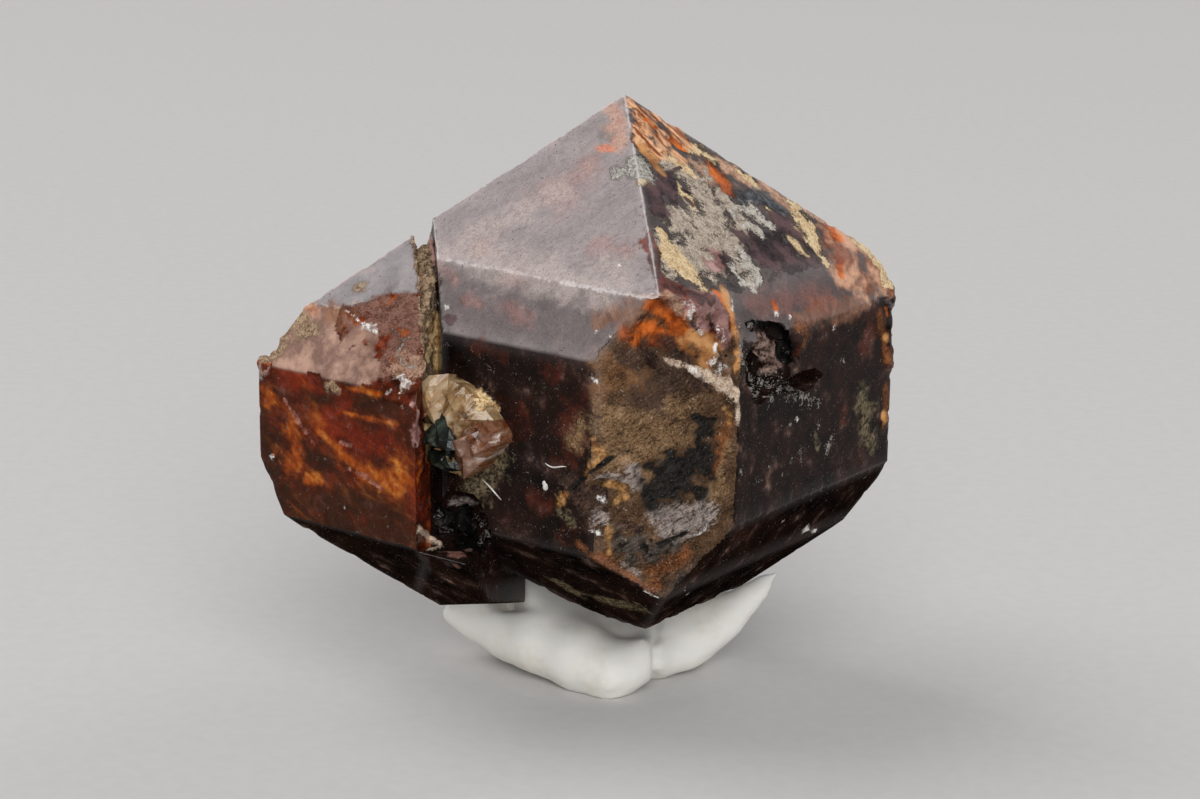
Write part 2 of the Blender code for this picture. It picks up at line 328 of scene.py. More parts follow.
@dataclass(frozen=True)
class Patch:
    """A patch of colour or texture, made of brush strokes.

    A stroke is a chain of spots, each placed by its pixels across and down in the frame, with how many
    pixels the stroke reaches from it. Strength is 1 along a stroke's middle, a half at its reach and 0 at
    twice that. The spread widens the broad strokes in full and the thin ones less.
    """

    spread: float
    strokes: tuple[Stroke, ...]

    def reach(self, pixels: float) -> float:
        """How far a spot reaches in millimetres, once spread."""
        gain = self.spread if pixels > BROAD_STROKE else 1 + THIN_GAIN * (self.spread - 1)
        return max(pixels * (gain if pixels > FINE_STROKE else FINE_GAIN), LEAST_REACH) / PIXELS_PER_MM

    def chains(self, sight: Sight) -> list[list[np.ndarray]]:
        """The strokes as chains of spots on the crystal.

        Args:
            sight: Finds the sites.

        Returns:
            For each stroke its spots, each a site and its reach.
        """
        chains = []
        for stroke in self.strokes:
            seen = [(sight.site(across, down), pixels) for across, down, pixels in stroke]
            chains.append([np.append(site, self.reach(pixels)) for site, pixels in seen if site is not None])
        return [chain for chain in chains if chain]

    def strength(self, sites: np.ndarray, ripple: np.ndarray, sight: Sight) -> np.ndarray:
        """How strongly each site belongs to the patch.

        Args:
            sites: The sites, one to a row.
            ripple: A noise for each site that frays the outline.
            sight: Finds the sites of the strokes.

        Returns:
            A value of 0 to 1 for each site.
        """
        total = np.zeros(len(sites))
        for chain in self.chains(sight):
            for start, end in zip(chain, chain[1:] or chain):
                span = end[:3] - start[:3]
                length = float(span @ span)
                limit = math.sqrt(length) / 2 + 3 * max(start[3], end[3])
                near = np.flatnonzero((np.abs(sites - (start[:3] + end[:3]) / 2) < limit).all(1))
                local = sites[near] - start[:3]
                share = np.clip(local @ span / max(length, 1e-9), 0, 1)
                reach = start[3] + (end[3] - start[3]) * share
                gap = np.linalg.norm(local - share[:, None] * span, axis=1) / (2 * reach)
                total[near] = np.maximum(total[near], np.clip(1 - gap + ripple[near], 0, 1))
        return total


# ---- crystal forms ----

@dataclass(frozen=True)
class CrystalForm:
    """The growth faces of a crystal, given for each side.

    An edge is how far from the c axis the two pyramids meet, and a prism how far from it the prism lies. A
    lower tip is how far below the apex the lower pyramid meets the axis, and a lower step how far below
    it the lower steep face meets the prism. The apex drop lowers both upper pyramids. The ends are
    further faces, each a normal as parts towards front, left and up, and its reach.
    """

    edges: Mapping[Side, float]
    prisms: Mapping[Side, float]
    lower_tips: Mapping[Side, float]
    lower_steps: Mapping[Side, float] = field(default_factory=dict)
    apex_drop: float = 0.0
    ends: tuple[tuple[float, float, float, float], ...] = ()

    def planes(self) -> tuple[np.ndarray, np.ndarray, list[FaceKind]]:
        """Work out every face.

        Returns:
            The outward normals (front, left, up), their distances from the apex point, and the kinds.
        """
        rows: list[tuple[float, float, float, float]] = []
        kinds: list[FaceKind] = []
        for side, prism in self.prisms.items():
            front, left = side.value
            edge, drop, tip = self.edges[side], self.apex_drop, self.lower_tips[side]
            steep_reach = STEEP_SLOPE * edge - drop - PYRAMID_SLOPE * edge
            rows.append((front * PYRAMID_SLOPE, left * PYRAMID_SLOPE, 1, -drop))
            rows.append((front * STEEP_SLOPE, left * STEEP_SLOPE, 1, steep_reach))
            rows.append((front, left, 0, prism))
            rows.append((front * PYRAMID_SLOPE, left * PYRAMID_SLOPE, -1, tip))
            kinds += [FaceKind.PYRAMID, FaceKind.STEEP, FaceKind.PRISM, FaceKind.LOWER]
            if side in self.lower_steps:
                lower_reach = STEEP_SLOPE * prism + self.lower_steps[side]
                rows.append((front * STEEP_SLOPE, left * STEEP_SLOPE, -1, lower_reach))
                kinds.append(FaceKind.LOWER)
        rows += self.ends
        kinds += [FaceKind.END] * len(self.ends)
        table = np.array(rows)
        scale = np.linalg.norm(table[:, :3], axis=1, keepdims=True)
        table = table / scale
        return table[:, :3], table[:, 3], kinds

    def depths(self, sites: np.ndarray) -> np.ndarray:
        """How far inside each face each site lies, one column to a face."""
        normals, reaches, _ = self.planes()
        return reaches - (sites * (1, 1, -1)) @ normals.T


MAIN_CRYSTAL = CrystalForm(
    edges={Side.LEFT_FRONT: 5.82, Side.RIGHT_FRONT: 6.20, Side.RIGHT_BACK: 6.00, Side.LEFT_BACK: 5.90},
    prisms={Side.LEFT_FRONT: 6.93, Side.RIGHT_FRONT: 7.03, Side.RIGHT_BACK: 6.48, Side.LEFT_BACK: 6.90},
    lower_tips={
        Side.LEFT_FRONT: 20.22, Side.RIGHT_FRONT: 20.68, Side.RIGHT_BACK: 20.69, Side.LEFT_BACK: 20.30
    },
    lower_steps={Side.RIGHT_FRONT: 13.2, Side.RIGHT_BACK: 13.9},
    ends=((-1, 0, 0, 8.75), (0, 1, 0, 6.55), (1, 0, 0, 7.79), (0, 0, -1, 17.82), (0, 0.48, -0.88, 16.236)),
)
SIDE_CRYSTAL = CrystalForm(
    edges={Side.LEFT_FRONT: 7.65, Side.LEFT_BACK: 7.65},
    prisms={Side.LEFT_FRONT: 8.76, Side.LEFT_BACK: 9.00},
    lower_tips={Side.LEFT_FRONT: 22.33, Side.LEFT_BACK: 21.90},
    lower_steps={Side.LEFT_BACK: 12.5},
    apex_drop=0.16,
    ends=(
        (0.406, -0.914, 0, -4.975), (-0.406, -0.914, 0, -4.975), (0, -1, 0, -7.20), (0.37, 0, -1, 18.14),
    ),
)


# ---- mesh helpers ----

WELD = 0.001


def add_object(name: str, data: bpy.types.ID) -> bpy.types.Object:
    """Link a new object.

    Args:
        name: Its name.
        data: Its mesh, light or camera.

    Returns:
        The object.
    """
    item = bpy.data.objects.new(name, data)
    bpy.context.scene.collection.objects.link(item)
    return item


def finish_mesh(name: str, bm: bmesh.types.BMesh) -> bpy.types.Object:
    """Turn a drawn mesh into an object.

    Args:
        name: The object's name.
        bm: The drawn mesh, which is freed.

    Returns:
        The object.
    """
    mesh = bpy.data.meshes.new(name)
    bm.to_mesh(mesh)
    bm.free()
    return add_object(name, mesh)


def settle(item: bpy.types.Object) -> None:
    """Apply an object's modifiers to its mesh.

    Args:
        item: The object.
    """
    graph = bpy.context.evaluated_depsgraph_get()
    mesh = bpy.data.meshes.new_from_object(item.evaluated_get(graph))
    item.modifiers.clear()
    old = item.data
    item.data = mesh
    mesh.name = item.name
    bpy.data.meshes.remove(old)


def weld(mesh: bpy.types.Mesh, distance: float) -> None:
    """Join the corners of a mesh that lie close together.

    Args:
        mesh: The mesh.
        distance: How close, in millimetres.
    """
    bm = bmesh.new()
    bm.from_mesh(mesh)
    bmesh.ops.remove_doubles(bm, verts=bm.verts, dist=distance * MM)
    bm.to_mesh(mesh)
    bm.free()


def fine_copy(source: bpy.types.Object, name: str, depth: int, fill: float) -> bpy.types.Object:
    """Rebuild a solid as a fine, even mesh that keeps its sharp edges.

    Args:
        source: The solid.
        name: The new object's name.
        depth: How many times its box is halved.
        fill: How much of the halved box the solid takes up.

    Returns:
        The new object.
    """
    mesh = source.data.copy()
    mesh.materials.clear()
    weld(mesh, WELD)
    item = add_object(name, mesh)
    cut = item.modifiers.new("Divide", "REMESH")
    cut.mode = "SHARP"
    cut.octree_depth = depth
    cut.scale = fill
    cut.use_remove_disconnected = False
    settle(item)
    return item


class Surface:
    """A mesh's points and normals as arrays, to be moved and painted together."""

    def __init__(self, item: bpy.types.Object) -> None:
        """Read the mesh.

        Args:
            item: The mesh object.
        """
        self.mesh: bpy.types.Mesh = item.data
        count = len(self.mesh.vertices)
        flat = np.empty(count * 3, np.float32)
        self.mesh.vertices.foreach_get("co", flat)
        self.points = flat.reshape(-1, 3).astype(float)
        ends = np.empty(len(self.mesh.edges) * 2, np.int32)
        self.mesh.edges.foreach_get("vertices", ends)
        self.edges = ends.reshape(-1, 2)
        self.neighbours = np.bincount(self.edges.ravel(), minlength=count).astype(float)
        self.read_normals()

    def read_normals(self) -> None:
        """Read the vertex normals afresh."""
        flat = np.empty(len(self.mesh.vertices) * 3, np.float32)
        self.mesh.vertex_normals.foreach_get("vector", flat)
        self.normals = flat.reshape(-1, 3).astype(float)

    @property
    def sites(self) -> np.ndarray:
        """The points as sites."""
        return to_sites(self.points)

    def lift(self, heights: np.ndarray) -> None:
        """Move every point along its normal by a height in millimetres."""
        self.points += self.normals * heights[:, None] * MM
        self.write()

    def keep_within(self, low: Vector, high: Vector) -> None:
        """Bring back every point that has left a box."""
        self.points = np.clip(self.points, np.array(low) + CLEARANCE, np.array(high) - CLEARANCE)
        self.write()

    def average(self, values: np.ndarray) -> np.ndarray:
        """Average over each point's neighbours.

        Args:
            values: A row of values for each point.

        Returns:
            The mean rows.
        """
        total = np.zeros_like(values)
        first, second = self.edges.T
        for column in range(values.shape[1]):
            total[:, column] += np.bincount(first, values[second, column], len(values))
            total[:, column] += np.bincount(second, values[first, column], len(values))
        return total / np.maximum(self.neighbours, 1)[:, None]

    def soften(self, mask: np.ndarray, passes: int) -> None:
        """Even out the points.

        Args:
            mask: How much each point moves, of 0 to 1.
            passes: How many times it is done.
        """
        for _ in range(passes):
            pull = self.average(self.points) - self.points
            self.points += pull * mask[:, None]
        self.write()

    def write(self) -> None:
        """Write the points back and read the new normals."""
        self.mesh.vertices.foreach_set("co", self.points.astype(np.float32).ravel())
        self.mesh.update()
        self.read_normals()

    def store(self, name: str, values: np.ndarray) -> None:
        """Keep a value of 0 to 1 for each point under a name that a finish reads."""
        attribute = self.mesh.attributes.new(name, "FLOAT", "POINT")
        attribute.data.foreach_set("value", np.clip(values, 0, 1).astype(np.float32))


def shade(item: bpy.types.Object, sharp_degrees: float) -> None:
    """Shade an object smooth, with edges sharper than an angle kept crisp."""
    item.data.shade_smooth()
    item.data.set_sharp_from_angle(angle=math.radians(sharp_degrees))


# ---- node materials ----

Socket = bpy.types.NodeSocket


def tone(red: float, green: float, blue: float) -> Colour:
    """The colour of a tone on the screen, each part out of 255."""
    parts = (part / 255 for part in (red, green, blue))
    return tuple(part / 12.92 if part <= 0.04045 else ((part + 0.055) / 1.055) ** 2.4 for part in parts)


class Brush(Enum):
    """The noises that the crystal finishes share."""

    BROAD = 0
    MEDIUM = 1
    FINE = 2
    DUST = 3
    SPECKLE = 4
    LACE = 5
    STREAK = 6
    LAMEL = 7
    FIBRE = 8
    RAGGED = 9
    BRISTLE = 10
    WISP = 11
    GRAINY = 12
    FLOW = 13


@dataclass(frozen=True)
class Layer:
    """A colour laid where a kept field is strong, mottled from a dark tone to a pale one.

    Both are what shows on the screen, each part out of 255, where the light on the face is as given by
    lit. The fray is how far a noise moves the outline, and soft is how soft that outline is.
    """

    name: str
    dark: Colour
    pale: Colour
    share: float
    fray: float
    soft: float
    grit: float
    outline: Brush
    mottle: Brush
    lit: float = 1.0


@dataclass(frozen=True)
class Wash:
    """An inner colour of the clear crystal, or a painted glow inside it, laid where a kept field is strong.

    The ramp's noise is a mixture, of which the rest is fine.
    """

    name: str
    outline: Brush
    fray: float
    soft: float
    share: float
    mixture: tuple[Brush, float]
    stops: tuple[tuple[float, Colour], ...]


class Painter:
    """Builds one node material with short calls. Distances in its patterns are millimetres."""

    mottle_range: tuple[float, float] = (0.41, 0.59)
    palest: float = 0.9

    def __init__(self, name: str, ior: float, specular: float = 0.5) -> None:
        """Start a material.

        Args:
            name: The material's name.
            ior: The index of refraction.
            specular: The specular level.
        """
        self.material = bpy.data.materials.new(name)
        self.material.use_nodes = True
        self.tree = self.material.node_tree
        self.shader = self.tree.nodes["Principled BSDF"]
        self.output = self.tree.nodes["Material Output"]
        self.shader.inputs["IOR"].default_value = ior
        self.shader.inputs["Specular IOR Level"].default_value = specular
        coordinates = self.tree.nodes.new("ShaderNodeTexCoord")
        scaled = self.node("ShaderNodeMapping")
        scaled.inputs["Scale"].default_value = (1 / MM, 1 / MM, 1 / MM)
        self.tree.links.new(coordinates.outputs["Object"], scaled.inputs["Vector"])
        self.spot: Socket = scaled.outputs["Vector"]

    def node(self, kind: str, **settings: object) -> bpy.types.Node:
        """Add a node.

        Args:
            kind: Its type.
            settings: Its settings, by name.

        Returns:
            The node.
        """
        made = self.tree.nodes.new(kind)
        for key, value in settings.items():
            setattr(made, key, value)
        return made

    def plug(self, value: object, socket: Socket) -> None:
        """Set an input, or link an output to it.

        Args:
            value: The number, the colour or the output.
            socket: The input.
        """
        if isinstance(value, bpy.types.NodeSocket):
            self.tree.links.new(value, socket)
        elif isinstance(value, tuple) and socket.type == "RGBA":
            socket.default_value = (*value, 1.0)
        else:
            socket.default_value = value

    def maths(self, operation: str, *values: object) -> Socket:
        """Add a maths node.

        Args:
            operation: What it does.
            values: Its inputs.

        Returns:
            Its result.
        """
        made = self.node("ShaderNodeMath", operation=operation)
        for value, socket in zip(values, made.inputs):
            self.plug(value, socket)
        return made.outputs[0]

    def total(self, *terms: tuple[object, float]) -> Socket:
        """Add up values.

        Args:
            terms: The values, each with its weight.

        Returns:
            Their weighted sum.
        """
        result: object = 0.0
        for value, weight in terms:
            result = self.maths("MULTIPLY_ADD", value, weight, result)
        return result

    def times(self, first: object, second: object) -> Socket:
        """The product of two values."""
        return self.maths("MULTIPLY", first, second)

    def shaken(self, value: object, noise: Socket, swing: float) -> Socket:
        """A value that a noise moves up and down by half a swing."""
        return self.maths("MULTIPLY_ADD", self.maths("SUBTRACT", noise, 0.5), swing, value)

    def stretched(self, along: Vector, squeeze: float) -> Socket:
        """Squeeze the coordinates, so that patterns run in streaks.

        Args:
            along: The direction of the streaks.
            squeeze: How many times as long as wide they are.

        Returns:
            The coordinates.
        """
        turned = self.node("ShaderNodeMapping")
        turned.vector_type = "TEXTURE"
        turned.inputs["Rotation"].default_value = along.to_track_quat("Z", "Y").to_euler()
        turned.inputs["Scale"].default_value = (1, 1, squeeze)
        self.plug(self.spot, turned.inputs["Vector"])
        return turned.outputs["Vector"]

    def noise(self, size: float, detail: float = 3, rough: float = 0.55, at: Socket | None = None,
              warp: float = 0.0) -> Socket:
        """Cloudy noise whose swells are about size across.

        Args:
            size: The width of a swell.
            detail: How many finer octaves it has.
            rough: How strong the finer octaves are.
            at: The coordinates, where they aren't the plain ones.
            warp: How much it is distorted.

        Returns:
            A value of about 0 to 1.
        """
        made = self.node("ShaderNodeTexNoise")
        self.plug(at or self.spot, made.inputs["Vector"])
        made.inputs["Scale"].default_value = 1 / size
        made.inputs["Detail"].default_value = detail
        made.inputs["Roughness"].default_value = rough
        made.inputs["Distortion"].default_value = warp
        return made.outputs[0]

    def cracks(self, size: float) -> Socket:
        """Make the distance to the nearest border between cells.

        Args:
            size: The width of a cell.

        Returns:
            The distance, in cell widths.
        """
        made = self.node("ShaderNodeTexVoronoi", feature="DISTANCE_TO_EDGE")
        self.plug(self.spot, made.inputs["Vector"])
        made.inputs["Scale"].default_value = 1 / size
        return made.outputs["Distance"]

    def field(self, name: str) -> Socket:
        """A value kept on the mesh under a name."""
        return self.node("ShaderNodeAttribute", attribute_name=name).outputs["Fac"]

    def step(self, value: object, low: float, high: float) -> Socket:
        """Make a smooth step.

        Args:
            value: What is compared.
            low: Where the step is still 0.
            high: Where it has become 1.

        Returns:
            The step.
        """
        made = self.node("ShaderNodeMapRange", interpolation_type="SMOOTHSTEP")
        self.plug(value, made.inputs["Value"])
        made.inputs["From Min"].default_value = low
        made.inputs["From Max"].default_value = high
        return made.outputs["Result"]

    def edge(self, name: str, noise: Socket, swing: float, soft: float) -> Socket:
        """A mask with a ragged outline, from a kept value and a noise that moves its outline."""
        return self.step(self.shaken(self.field(name), noise, swing), 0.5 - soft, 0.5 + soft)

    def ramp(self, value: object, *stops: tuple[float, Colour]) -> Socket:
        """Give a value a colour.

        Args:
            value: The value.
            stops: The ramp's stops, each a place and a colour.

        Returns:
            The colour.
        """
        made = self.node("ShaderNodeValToRGB")
        points = made.color_ramp.elements
        while len(points) < len(stops):
            points.new(0.5)
        for point, (where, colour) in zip(points, stops):
            point.position = where
            point.color = (*colour, 1)
        self.plug(value, made.inputs["Fac"])
        return made.outputs["Color"]

    def mix(self, share: object, under: object, over: object, **settings: str) -> Socket:
        """Mix two values.

        Args:
            share: How much of the second there is.
            under: The first.
            over: The second.
            settings: The mix node's settings, by name.

        Returns:
            The mixture.
        """
        made = self.node("ShaderNodeMix", **settings)
        sockets = (socket for socket in made.inputs if socket.enabled)
        for value, socket in zip((share, under, over), sockets):
            self.plug(value, socket)
        return next(socket for socket in made.outputs if socket.enabled)

    def blend(self, share: object, under: object, over: object, mode: str = "MIX") -> Socket:
        """One colour over another, by a share."""
        return self.mix(share, under, over, data_type="RGBA", blend_type=mode)

    def between(self, share: object, under: object, over: object) -> Socket:
        """A number between two others, by a share."""
        return self.mix(share, under, over, data_type="FLOAT")

    def brushes(self) -> dict[Brush, Socket]:
        """Make the shared noises.

        Returns:
            The noises, by brush.
        """
        fine = self.noise(0.26, 4, 0.65)
        dust = self.noise(0.07, 2, 0.6)
        medium = self.noise(0.9, 4, 0.6)
        lace = self.noise(0.50, 6, 0.75, warp=0.6)
        fibre = self.noise(0.13, 4, 0.65, self.stretched(heading(0, -1, 0.6), 3.0), warp=0.8)
        return {
            Brush.BROAD: self.noise(3.0, 3),
            Brush.MEDIUM: medium,
            Brush.FINE: fine,
            Brush.DUST: dust,
            Brush.SPECKLE: self.total((fine, 0.5), (dust, 0.5)),
            Brush.LACE: lace,
            Brush.STREAK: self.noise(0.30, 3, 0.6, self.stretched(heading(-1, 0.3, 0.8), 5.0)),
            Brush.LAMEL: self.noise(0.16, 3, 0.6, self.stretched(heading(0.5, -1, -1.1), 7.0), warp=0.4),
            Brush.FIBRE: fibre,
            Brush.RAGGED: self.total((lace, 0.42), (fine, 0.30), (dust, 0.28)),
            Brush.BRISTLE: self.total((fibre, 0.60), (dust, 0.25), (lace, 0.15)),
            Brush.WISP: self.noise(0.45, 5, 0.7, self.stretched(heading(0.3, -1, 0.9), 2.5), warp=0.3),
            Brush.GRAINY: self.total((medium, 0.35), (fibre, 0.30), (dust, 0.35)),
            Brush.FLOW: self.noise(0.8, 4, 0.6, self.stretched(heading(0.5, -1, -0.55), 3.5), warp=0.5),
        }

    def sheen_film(self, noises: Mapping[Brush, Socket], broad: float, full: float) -> Socket:
        """Thin the kept film and its painted sheen where the noises run low.

        Args:
            noises: The noises, by brush.
            broad: The broad noise's share, of which the rest is fine.
            full: The noise from which the film is whole.

        Returns:
            The strength of the film and its painted sheen.
        """
        cover = self.total((noises[Brush.BROAD], broad), (noises[Brush.FINE], 1 - broad))
        return self.times(self.field("sheen_film"), self.step(cover, 0.0, full))

    def lay_all(self, colour: Socket, noises: Mapping[Brush, Socket]) -> tuple[Socket, Socket]:
        """Lay every layer, in order.

        Args:
            colour: The colour under them.
            noises: The noises, by brush.

        Returns:
            The new colour, and how gritty the surface is.
        """
        grit: object = 0.0
        for layer in LAYERS:
            mask = self.edge(layer.name, noises[layer.outline], layer.fray, layer.soft)
            mask = self.times(mask, layer.share)
            stops = [(stop, tuple(min(part / layer.lit, self.palest) for part in tone(*shade)))
                     for stop, shade in zip(self.mottle_range, (layer.dark, layer.pale))]
            colour = self.blend(mask, colour, self.ramp(noises[layer.mottle], *stops))
            grit = self.between(mask, grit, layer.grit)
        return colour, grit

    def finish(self, colour: object, roughness: object, height: object) -> bpy.types.Material:
        """Connect the shader.

        Args:
            colour: The base colour.
            roughness: The roughness.
            height: The relief in millimetres.

        Returns:
            The material.
        """
        self.plug(colour, self.shader.inputs["Base Color"])
        self.plug(roughness, self.shader.inputs["Roughness"])
        bump = self.node("ShaderNodeBump")
        bump.inputs["Distance"].default_value = MM
        self.plug(height, bump.inputs["Height"])
        self.plug(bump.outputs["Normal"], self.shader.inputs["Normal"])
        return self.material


# ---- finishes ----

SIDE_LIT = 0.82
WASHES: tuple[Wash, ...] = (
    Wash("blood", Brush.MEDIUM, 0.8, 0.35, 0.80, (Brush.FLOW, 0.6), (
        (0.36, tone(70, 16, 8)), (0.64, tone(152, 46, 20)),
    )),
    Wash("dusk", Brush.FLOW, 1.0, 0.35, 0.85, (Brush.MEDIUM, 0.6), (
        (0.36, tone(26, 16, 11)), (0.64, tone(62, 34, 22)),
    )),
    Wash("glow", Brush.FLOW, 1.8, 0.50, 0.85, (Brush.FLOW, 0.5), (
        (0.38, tone(128, 50, 14)), (0.50, tone(184, 86, 26)), (0.64, tone(236, 150, 62)),
    )),
)
LAYERS: tuple[Layer, ...] = (
    Layer("rust", (34, 16, 12), (78, 34, 22), 0.75, 1.0, 0.30, 0.15, Brush.LACE, Brush.MEDIUM, SIDE_LIT),
    Layer("sugar", (42, 30, 22), (98, 73, 52), 1.0, 0.3, 0.25, 0.90, Brush.MEDIUM, Brush.GRAINY, SIDE_LIT),
    Layer("flesh", (112, 86, 76), (160, 128, 112), 0.92, 0.5, 0.24, 0.30, Brush.MEDIUM, Brush.MEDIUM, 0.66),
    Layer("copper", (120, 74, 48), (150, 108, 84), 0.70, 0.9, 0.35, 0.15, Brush.MEDIUM, Brush.STREAK),
    Layer("blush", (150, 92, 80), (190, 120, 108), 0.28, 0.9, 0.48, 0.20, Brush.MEDIUM, Brush.SPECKLE),
    # a painted sheen that lightens the lower part of the left front pyramid
    Layer("painted_sheen", (164, 148, 144), (206, 190, 184), 0.55, 1.2, 0.48, 0.20, Brush.MEDIUM, Brush.SPECKLE),
    Layer("haze", (105, 98, 96), (130, 122, 118), 0.60, 0.8, 0.25, 0.20, Brush.FINE, Brush.SPECKLE),
    Layer("peach", (176, 130, 112), (214, 172, 152), 0.75, 0.8, 0.34, 0.20, Brush.MEDIUM, Brush.SPECKLE),
    Layer("ember", (196, 110, 80), (228, 150, 118), 0.80, 0.8, 0.22, 0.20, Brush.FINE, Brush.SPECKLE),
    Layer("rose", (142, 104, 86), (196, 160, 134), 0.88, 1.4, 0.34, 0.30, Brush.MEDIUM, Brush.SPECKLE, 0.68),
    Layer("bloom", (138, 84, 60), (206, 160, 132), 0.95, 1.0, 0.40, 0.15, Brush.MEDIUM, Brush.MEDIUM, 0.86),
    Layer("beige", (122, 110, 100), (182, 169, 153), 1.0, 2.0, 0.18, 0.75, Brush.RAGGED, Brush.SPECKLE, 0.74),
    Layer("cream", (166, 138, 104), (220, 192, 154), 1.0, 2.0, 0.14, 0.85, Brush.RAGGED, Brush.SPECKLE, 0.74),
    Layer("mauve", (120, 84, 80), (176, 140, 134), 1.0, 0.8, 0.18, 0.10, Brush.FINE, Brush.MEDIUM, 0.85),
    Layer("shadow", (34, 26, 30), (80, 60, 62), 0.95, 1.4, 0.14, 0.30, Brush.RAGGED, Brush.MEDIUM, 0.68),
    Layer("slate", (38, 42, 46), (84, 86, 90), 0.95, 1.2, 0.18, 0.30, Brush.RAGGED, Brush.FINE, 0.72),
    Layer("maroon", (58, 24, 20), (118, 62, 54), 1.0, 0.8, 0.16, 0.10, Brush.FINE, Brush.MEDIUM, 0.85),
    Layer("isle", (126, 120, 112), (190, 183, 173), 1.0, 2.2, 0.14, 0.85, Brush.RAGGED, Brush.SPECKLE, 0.74),
    Layer("lamella", (128, 68, 36), (222, 172, 132), 1.0, 1.0, 0.22, 0.20, Brush.STREAK, Brush.LAMEL, 0.85),
    Layer("granite", (112, 108, 104), (192, 188, 178), 1.0, 2.0, 0.22, 0.85,
          Brush.RAGGED, Brush.SPECKLE, 0.9),
    Layer("fire", (126, 52, 14), (214, 110, 42), 0.94, 0.9, 0.34, 0.05, Brush.MEDIUM, Brush.MEDIUM, 0.9),
    Layer("umber", (84, 56, 36), (134, 98, 66), 0.85, 0.9, 0.38, 0.90, Brush.MEDIUM, Brush.GRAINY, SIDE_LIT),
    Layer("plum", (38, 28, 24), (76, 58, 48), 0.92, 1.4, 0.34, 0.80, Brush.GRAINY, Brush.GRAINY, SIDE_LIT),
    Layer("tan", (72, 52, 36), (150, 120, 87), 0.82, 1.6, 0.42, 0.95, Brush.BRISTLE, Brush.GRAINY, SIDE_LIT),
    Layer("ochre", (60, 35, 21), (140, 86, 50), 0.90, 1.5, 0.40, 0.80, Brush.RAGGED, Brush.GRAINY, SIDE_LIT),
    Layer("gold", (104, 68, 36), (188, 142, 90), 0.85, 1.6, 0.36, 0.70, Brush.RAGGED, Brush.FINE, SIDE_LIT),
    # painted shade in small hollows of the sugary flat
    Layer("hollow_shade", (34, 25, 23), (78, 58, 48), 0.95, 0.9, 0.20, 0.80, Brush.FINE, Brush.FIBRE, SIDE_LIT),
    Layer("speck", (22, 19, 17), (86, 77, 70), 1.0, 1.8, 0.24, 1.0, Brush.BRISTLE, Brush.BRISTLE, SIDE_LIT),
    Layer("ash", (58, 51, 48), (160, 147, 140), 0.90, 2.6, 0.34, 0.85,
          Brush.BRISTLE, Brush.BRISTLE, SIDE_LIT),
    Layer("moss", (34, 29, 21), (122, 108, 84), 0.85, 1.2, 0.25, 0.80, Brush.LACE, Brush.FIBRE, SIDE_LIT),
    Layer("brick", (90, 60, 52), (142, 104, 90), 1.0, 1.4, 0.24, 0.35, Brush.RAGGED, Brush.SPECKLE),
    Layer("fawn", (112, 86, 76), (160, 128, 112), 0.95, 1.0, 0.20, 0.30, Brush.MEDIUM, Brush.MEDIUM, 0.88),
    Layer("salmon", (118, 86, 70), (188, 152, 130), 0.95, 1.4, 0.22, 0.50, Brush.RAGGED, Brush.SPECKLE),
    Layer("straw", (98, 78, 58), (182, 156, 128), 0.88, 1.8, 0.26, 0.80, Brush.RAGGED, Brush.SPECKLE, 0.9),
    Layer("honey", (132, 84, 44), (190, 140, 90), 0.92, 1.0, 0.32, 0.10, Brush.MEDIUM, Brush.MEDIUM, 0.80),
    Layer("wedge", (136, 100, 66), (214, 176, 134), 0.95, 1.0, 0.22, 0.20, Brush.FINE, Brush.FINE, 0.62),
    Layer("rim", (150, 126, 108), (222, 202, 180), 0.92, 1.6, 0.28, 0.50, Brush.RAGGED, Brush.SPECKLE, 0.88),
    Layer("druse", (56, 38, 32), (150, 126, 116), 1.0, 0.9, 0.18, 0.50, Brush.FINE, Brush.FINE, SIDE_LIT),
    # near-black painted shade in the hollows of the notch and the vug
    Layer("void_shade", (6, 6, 6), (16, 14, 12), 1.0, 0.6, 0.12, 0.40, Brush.FINE, Brush.FINE),
    Layer("frost", (54, 51, 48), (150, 143, 136), 0.9, 3.4, 0.12, 0.90,
          Brush.SPECKLE, Brush.SPECKLE, SIDE_LIT),
    Layer("soot", (5, 5, 5), (44, 40, 37), 1.0, 1.5, 0.16, 0.60, Brush.BRISTLE, Brush.BRISTLE, SIDE_LIT),
    Layer("flame", (196, 92, 34), (250, 170, 98), 1.0, 0.7, 0.18, 0.10, Brush.FINE, Brush.FINE, 0.85),
    Layer("glint", (130, 116, 110), (236, 228, 222), 0.92, 3.0, 0.20, 0.15, Brush.RAGGED, Brush.FINE, 0.9),
    Layer("ivory", (120, 112, 108), (180, 172, 166), 1.0, 0.8, 0.20, 0.60, Brush.FINE, Brush.SPECKLE),
)


